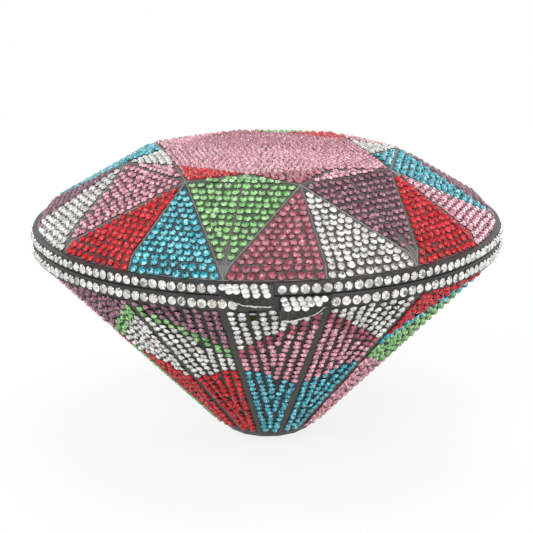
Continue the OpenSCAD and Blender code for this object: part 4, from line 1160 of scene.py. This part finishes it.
def screw_heads(name, z):
    """Three screws at height z on the hinge's flat: shaft, thin disc and two half heads each.
    A half head's outline is an arc of the head's circle beyond half the slot's width."""
    points, corners, counts = np.zeros((0, 3)), np.zeros(0, int), np.zeros(0, int)
    slot = np.arcsin(SLOT_HALF)
    full, arc = np.linspace(0, 2 * np.pi, 32, endpoint=False), np.linspace(slot, np.pi - slot, 18)
    ring, half = (np.stack([np.cos(v), np.sin(v)], -1) for v in (full, arc))
    # outline, and how far out each prism starts and ends; all but the shaft narrow a little
    prisms = [(0.6 * ring, -2.2, 0.02), (ring, 0.0, 0.22), (half * 0.98, 0.2, 0.5),
              (-half * 0.98, 0.2, 0.5)]
    for x, turn in zip((-8.0, 0.0, 8.0), (0.4, 1.3, 2.6)):
        c, q = np.cos(turn), np.sin(turn)
        for number, (outline, y0, y1) in enumerate(prisms):
            flat = outline @ np.array([[c, q], [-q, c]])
            n = len(flat)
            lower = np.stack([x + flat[:, 0], np.full(n, RIM_R + y0), z + flat[:, 1]], -1)
            upper = lower + [0, y1 - y0, 0]
            if number:
                upper = upper + ([x, 0, z] - lower * [1, 0, 1]) * 0.06
            i, j = np.arange(n), (np.arange(n) + 1) % n
            walls = np.stack([j, i, n + i, n + j], -1).ravel()
            corners = np.r_[corners, len(points) + np.r_[i, (n + i)[::-1], walls]]
            counts = np.r_[counts, n, n, np.full(n, 4)]
            points = np.concatenate([points, lower, upper])
    return tidy(put_mesh(name, points, corners, counts))


dress(screw_heads("screws_base", SEAM_Z - 2.7), "base", steel, "small_steel", "hinge_base_screws")
dress(screw_heads("screws_lid", SEAM_Z + 2.9), "lid", steel, "small_steel", "hinge_lid_screws")
print("six slotted screws")

# %% [markdown]
# ## Velvet lining
# Both halves are lined with short dark velvet over a thin pad. The pad is sewn down where the
# facets meet, so each facet is a low cushion, and a piping of grey satin hides the edge. For the
# base the facets' middles and edges are known directly. The lid is convex, so its inner face is the
# lowest of its facets' planes at each point, and the gap between the lowest and the next plane
# tells how near a seam is. Each point carries a number for the material: 1 at a seam, where the
# velvet is painted dark as shade in the crease, 0 away from it, and 2 on the piping.

# %% Velvet material
velvet, tree, shader = new_material("velvet", Sheen_Weight=0.8, Sheen_Roughness=0.35,
                                    Sheen_Tint=(0.35, 0.3, 0.33, 1), Specular_IOR_Level=0.1)
place = here(tree)
pile = noise(tree, place, 2600.0, 2.0)
nap = noise(tree, place, 110.0, 3.0, Distortion=0.6)
tone = calc(tree, "MULTIPLY_ADD", nap, 0.5, calc(tree, "MULTIPLY", pile, 0.6))
seam_shade_and_piping = add(tree, "ShaderNodeAttribute", attribute_name="seam_shade_and_piping").outputs["Fac"]
# painted shade: the velvet darkened to 0.3 of its colour at a seam
seam_shade = ramp(tree, seam_shade_and_piping, 0.0, 1.0, 1.0, 0.3)
satin = ramp(tree, seam_shade_and_piping, 1.4, 1.6)
cloth = blend_colours(tree, tone, srgb(28, 24, 28), srgb(96, 86, 94))
cloth = blend_colours(tree, 1.0, cloth, grey(tree, seam_shade), "MULTIPLY")
thread = blend_colours(tree, pile, srgb(96, 92, 94), srgb(150, 146, 148))
relief = add(tree, "ShaderNodeBump", {"Height": pile, "Strength": 0.5, "Distance": 0.0002})
tree.links.new(blend_colours(tree, satin, cloth, thread), shader.inputs["Base Color"])
tree.links.new(calc(tree, "MULTIPLY_ADD", satin, -0.5, 0.95), shader.inputs["Roughness"])
tree.links.new(relief.outputs[0], shader.inputs["Normal"])

# %% Lining of the base
SLANT = np.sqrt(1 + ((EDGE_R - FOOT_R) / (BASE_LOW - FOOT_T)) ** 2)   # sideways per mm of wall
PIPING_R, PIPING_SIDES = 0.62, 12


def cup(name, body, node, outer, inner, seam, edge):
    """Closed cup from two grids (rows, columns, 3) with their last rows at the open edge and their
    first rows at the pole: the outer grid, the inner one turned over, and a rim between. seam is
    the number of each inner point, its painted shade, 1 at a seam. edge is a closed path; a round
    piping runs along it: at each point a ring square to the path."""
    n, m = outer.shape[:2]
    faces = grid_faces(n, m, wrap_cols=True)
    last = (n - 1) * m + np.arange(m)
    after = np.roll(last, -1)
    rim = np.stack([last, after, n * m + after, n * m + last], -1)
    way = unit(np.roll(edge, -1, axis=0) - np.roll(edge, 1, axis=0))
    side = unit(np.cross(way, Z_AXIS))
    piping = edge[:, None] + PIPING_R * circle(side, np.tile(Z_AXIS, (len(edge), 1)), PIPING_SIDES)
    wound = grid_faces(len(edge), PIPING_SIDES, wrap_rows=True, wrap_cols=True) + 2 * n * m
    corners = np.concatenate([faces, faces[:, ::-1] + n * m, rim, wound]).ravel()
    points = np.concatenate([part.reshape(-1, 3) for part in (outer, inner, piping)])
    made = put_mesh(name, points, corners, np.full(len(corners) // 4, 4), smooth=True)
    layer = made.data.attributes.new("seam_shade_and_piping", "FLOAT", "POINT")
    seam_shade_and_piping = np.r_[np.zeros(n * m), np.clip(seam, 0, 1).ravel(), np.full(piping.size // 3, 2.0)]
    layer.data.foreach_set("value", seam_shade_and_piping.astype(np.float32))
    tidy(made)
    dress(made, body, velvet, "lining", node)
    return made


FLOOR_Z, BRIM_Z, INNER_FLOOR = 2.42, 73.0, 3.1    # lining: underside, open edge, upper side
BACK_GAP, PAD_MIN, PAD_MORE = 1.23, 0.34, 0.9     # wall with its gap; pad at a seam, extra between
PIPING_Z, PIPING_IN = 72.6, 1.9                   # height of the piping, distance from the wall
SEAM_SHADE_WIDTH = 1.3                                  # how fast the painted shade fades beside a seam
phi = np.arange(16 * 12) * 360 / 192
inside = np.radians((phi - FIRST) % STEP - STEP / 2)          # angle from the facet's middle
across = 1 - np.abs(inside) / np.radians(STEP / 2)           # 0 at a seam, 1 in the middle
z = np.concatenate([[FLOOR_Z, FLOOR_Z], np.linspace(FLOOR_Z, BRIM_Z, 60)])
ring_r = np.where(np.arange(len(z)) == 0, 0.0, 1.0)[:, None]
near_end = np.clip(np.minimum(z - 3.2, BRIM_Z - z) / 3, 0, 1)[:, None]
puff = np.sqrt(np.clip(across, 0, 1))[None] * np.sqrt(near_end)
apothem = pav(z)[:, None] * HALF_COS - BACK_GAP * SLANT
outer = pol(ring_r * apothem / np.cos(inside)[None], phi[None], z[:, None])
thick = PAD_MIN + PAD_MORE * puff
inner_z = np.maximum(z, INNER_FLOOR)
inner_apothem = pav(inner_z)[:, None] * HALF_COS - (BACK_GAP + thick) * SLANT
inner = pol(ring_r * inner_apothem / np.cos(inside)[None], phi[None], inner_z[:, None])
from_seam = across[None] * pav(z)[:, None] * np.radians(STEP / 2)     # in mm
# painted shade beside the seams, and in the crease round the floor of the cup
seam = np.exp(-from_seam / SEAM_SHADE_WIDTH) + np.exp(-np.abs(z - 3.6) / 1.0)[:, None]
edge = pol((pav(PIPING_Z) * HALF_COS - PIPING_IN * SLANT) / np.cos(inside), phi, PIPING_Z)
piece = cup("velvet_base", "base", "base_lining", outer, inner, seam, edge)
print("base lining:", len(piece.data.polygons), "faces")

# %% Lining of the lid
def lid_planes(pull, drop):
    """Planes of the lid's facets with every point drawn towards the axis by a share of pull and
    lowered by drop: for each facet (a, b, c) with height a x + b y + c."""
    def moved(p, share, lower=drop):
        """Point p after the move."""
        near = 1 - share * pull / max(np.hypot(p[0], p[1]), 1)
        return np.array([p[0] * near, p[1] * near, p[2] - lower])

    planes, apex = [], moved(top, 0)
    for k in range(8):
        st, nx = moved(star(k), 0.5), moved(star(k + 1), 0.5)
        co, before = moved(corner(k), 0.2), moved(corner(k - 1), 0.2)
        b = [moved(bend(k, j), 1) for j in range(3)]
        f = [moved(foot(2 * k - 1 + j), 1, 0) for j in range(3)]
        for p, q, w in ((apex, co, before), (before, st, co), (st, nx, co), (st, b[2], nx),
                        (st, b[0], b[1]), (st, b[1], b[2]), (b[0], f[0], f[1]), (b[1], f[1], f[2])):
            normal = np.cross(q - p, w - p)
            planes.append((-normal[0] / normal[2], -normal[1] / normal[2],
                           normal @ p / normal[2]))
    return np.array(planes)


SIDE_WALL, LEAST_Z = WALL_T * 1.35, LID_TOP + 0.02    # wall across the slope; lowest lining point
SEAM_ROUND = 0.8                                      # radius of a seam's bottom
planes = lid_planes(SIDE_WALL, WALL_T)
phi = np.arange(352) * 360 / 352
inside = np.radians((phi - FIRST) % STEP - STEP / 2)
edge_r = (CROWN_R - SIDE_WALL - 0.05) * HALF_COS / np.cos(inside)
share = np.concatenate([np.linspace(0, 0.93, 90), np.linspace(0.94, 0.968, 4),
                        np.linspace(0.972, 1.0, 10)])
flat = pol(share[:, None] * edge_r[None], phi[None], 0)
heights = flat[..., :2] @ planes[:, :2].T + planes[:, 2]
order = np.argsort(heights, axis=-1)[..., :2]
lowest, slope = np.take_along_axis(heights, order, -1), planes[order][..., :2]
turned_by = np.linalg.norm(slope[..., 1, :] - slope[..., 0, :], axis=-1)
from_seam = (lowest[..., 1] - lowest[..., 0]) / np.maximum(turned_by, 0.02)       # in mm
from_seam = np.hypot(from_seam, SEAM_ROUND) - SEAM_ROUND
roof = np.clip(lowest[..., 0] - 0.04, LEAST_Z, None)
puff = 1 - np.exp(-from_seam / 3.5)
thick = 0.42 + PAD_MORE * puff
outer = np.concatenate([flat[..., :2], roof[..., None]], -1)
inner = np.concatenate([flat[..., :2] * (1 - 0.0135 * np.minimum(thick, 1)[..., None]),
                        np.maximum(roof - 0.85 * thick, LEAST_Z)[..., None]], -1)
# painted shade beside the lid's seams
seam = np.exp(-from_seam / SEAM_SHADE_WIDTH)
edge = pol(edge_r - 1.0, phi, LID_TOP + 0.72)
piece = cup("velvet_lid", "lid", "lid_lining", outer, inner, seam, edge)
print("lid lining:", len(piece.data.polygons), "faces")

# %% [markdown]
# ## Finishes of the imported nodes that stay
# The shells, bands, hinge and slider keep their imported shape, so they only need a material.

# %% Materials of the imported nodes
KEEP = {
    "base_shell": base_metal_shaded, "foot_plate": base_metal_shaded, "lid_shell": lid_metal,
    "base_rim": band_metal_shaded, "lid_rim": band_metal_shaded,
    "hinge_base_leaf": hinge_metal, "hinge_lid_leaf": hinge_metal, "hinge_pin": steel,
    "catch_rivets": steel, "clasp_rivets": steel, "slider_plate": steel, "slider_spring": steel,
    "slider_strap": hinge_metal,
}
for name, material in KEEP.items():
    for slot in nodes[name].material_slots:
        slot.material = material
print("packed nodes with a new finish:", len(KEEP))

# %% [markdown]
# ## Floor and background
# The floor is pale and the background white. Both are white to the camera and in reflections,
# by the Light Path node, while a share of the floor stays an ordinary surface and keeps a shadow.

# %% Stage
def seen_directly(tree):
    """1 for camera, glossy and transmission rays, 0 for all others."""
    path = add(tree, "ShaderNodeLightPath").outputs
    return calc(tree, "ADD", calc(tree, "ADD", path["Is Camera Ray"], path["Is Glossy Ray"]),
                path["Is Transmission Ray"], clamp=True)


def empty_tree(owner):
    """Node tree of a material or a world, without its first nodes."""
    owner.use_nodes = True
    owner.node_tree.nodes.clear()
    return owner.node_tree


def white_stage(name, albedo, glow):
    """Material that shows nearly white to camera, glossy and transmission rays, and shades
    plainly for all others. glow is the share near the object that doesn't depend on light; it
    rises to all of it further out."""
    material = bpy.data.materials.new(name)
    tree = empty_tree(material)
    seen = seen_directly(tree)
    plain = add(tree, "ShaderNodeBsdfDiffuse", {"Color": (albedo, albedo, albedo, 1)}).outputs[0]
    distance = add(tree, "ShaderNodeVectorMath", {0: here(tree)}, operation="LENGTH")
    own = ramp(tree, distance.outputs["Value"], 0.1, 0.75, glow, 1.0, "SMOOTHSTEP")
    rest = grey(tree, calc(tree, "SUBTRACT", 1.0, own))
    soft = add(tree, "ShaderNodeBsdfDiffuse", {"Color": rest}).outputs[0]
    light = add(tree, "ShaderNodeEmission", {"Color": (1, 1, 1, 1), "Strength": own}).outputs[0]
    bright = add(tree, "ShaderNodeAddShader", {0: soft, 1: light}).outputs[0]
    mixed = add(tree, "ShaderNodeMixShader", {0: seen, 1: plain, 2: bright}).outputs[0]
    add(tree, "ShaderNodeOutputMaterial", {"Surface": mixed})
    return material


FLOOR_HALF, UNDER_FOOT = 3000, -0.05      # half the floor's side; its height, just under the foot
floor = put_mesh("floor", [(x * FLOOR_HALF, y * FLOOR_HALF, UNDER_FOOT)
                           for x, y in ((-1, -1), (1, -1), (1, 1), (-1, 1))], [0, 1, 2, 3], [4])
floor.data.materials.append(white_stage("floor_white", 0.7, 0.8))

world = bpy.data.worlds.new("studio")
bpy.context.scene.world = world
tree = empty_tree(world)
strength = calc(tree, "MULTIPLY_ADD", seen_directly(tree), 0.55, 0.45)
air = add(tree, "ShaderNodeBackground", {"Color": (1, 1, 1, 1), "Strength": strength}).outputs[0]
add(tree, "ShaderNodeOutputWorld", {"Surface": air})
print("stage ready")

# %% [markdown]
# ## Light
# Six soft panels as in a small product studio: one over the front left, one over the top, a weaker
# one at the right, a low one that lights the undercut base, and two behind, for the far slopes.

# %% Lamps
AIM = Vector((0, 0, 0.06))                # middle of the case, in metres


def panel(name, place, size, power):
    """Square area lamp of this size and power (in watts) at a place in metres, aimed at AIM."""
    lamp = bpy.data.lights.new(name, "AREA")
    lamp.energy, lamp.size = power, size
    made = bpy.data.objects.new(name, lamp)
    bpy.context.scene.collection.objects.link(made)
    made.location = place
    made.rotation_euler = (AIM - Vector(place)).to_track_quat("-Z", "Y").to_euler()


panel("panel_key", (-0.55, -0.95, 0.8), 0.45, 6.0)
panel("panel_top", (0.1, 0.1, 1.25), 0.8, 4.0)
panel("panel_side", (0.95, -0.45, 0.5), 0.4, 3.0)
panel("panel_low", (0.15, -1.3, 0.12), 0.6, 9.0)
panel("panel_back_right", (0.85, 1.0, 0.35), 0.5, 5.0)
panel("panel_back_left", (-0.85, 1.0, 0.35), 0.5, 8.0)
print("lamps:", len(bpy.data.lights))

# %% [markdown]
# ## Camera
# The camera stands slightly left of the front and fifteen degrees above the seam, as in the
# photograph. Its small tilt and shift were found by fitting the outline of the case.

# %% Camera
lens = bpy.data.cameras.new("camera")
lens.lens, lens.sensor_width, lens.sensor_fit = 86.6, 36.0, "HORIZONTAL"
lens.shift_x, lens.shift_y = -0.00029, -0.0760
lens.clip_start, lens.clip_end = 0.02, 20
camera = bpy.data.objects.new("camera", lens)
bpy.context.scene.collection.objects.link(camera)
lift, swing, distance, roll = np.radians(14.638), np.radians(-1.668), 0.47056, -0.0095
back = np.array([np.cos(lift) * np.sin(swing), -np.cos(lift) * np.cos(swing), np.sin(lift)])
right = unit(np.cross(-back, Z_AXIS))
above = np.cross(right, -back)
right, above = (np.cos(roll) * right + np.sin(roll) * above,
                -np.sin(roll) * right + np.cos(roll) * above)
spot = np.array([0, 0, SEAM_Z * 0.001]) + distance * back
turn = np.eye(4)
turn[:3, 0], turn[:3, 1], turn[:3, 2], turn[:3, 3] = right, above, back, spot
camera.matrix_world = Matrix(turn.tolist())
bpy.context.scene.camera = camera
bpy.context.scene.view_settings.view_transform = "Standard"
print("camera at", np.round(spot, 4))
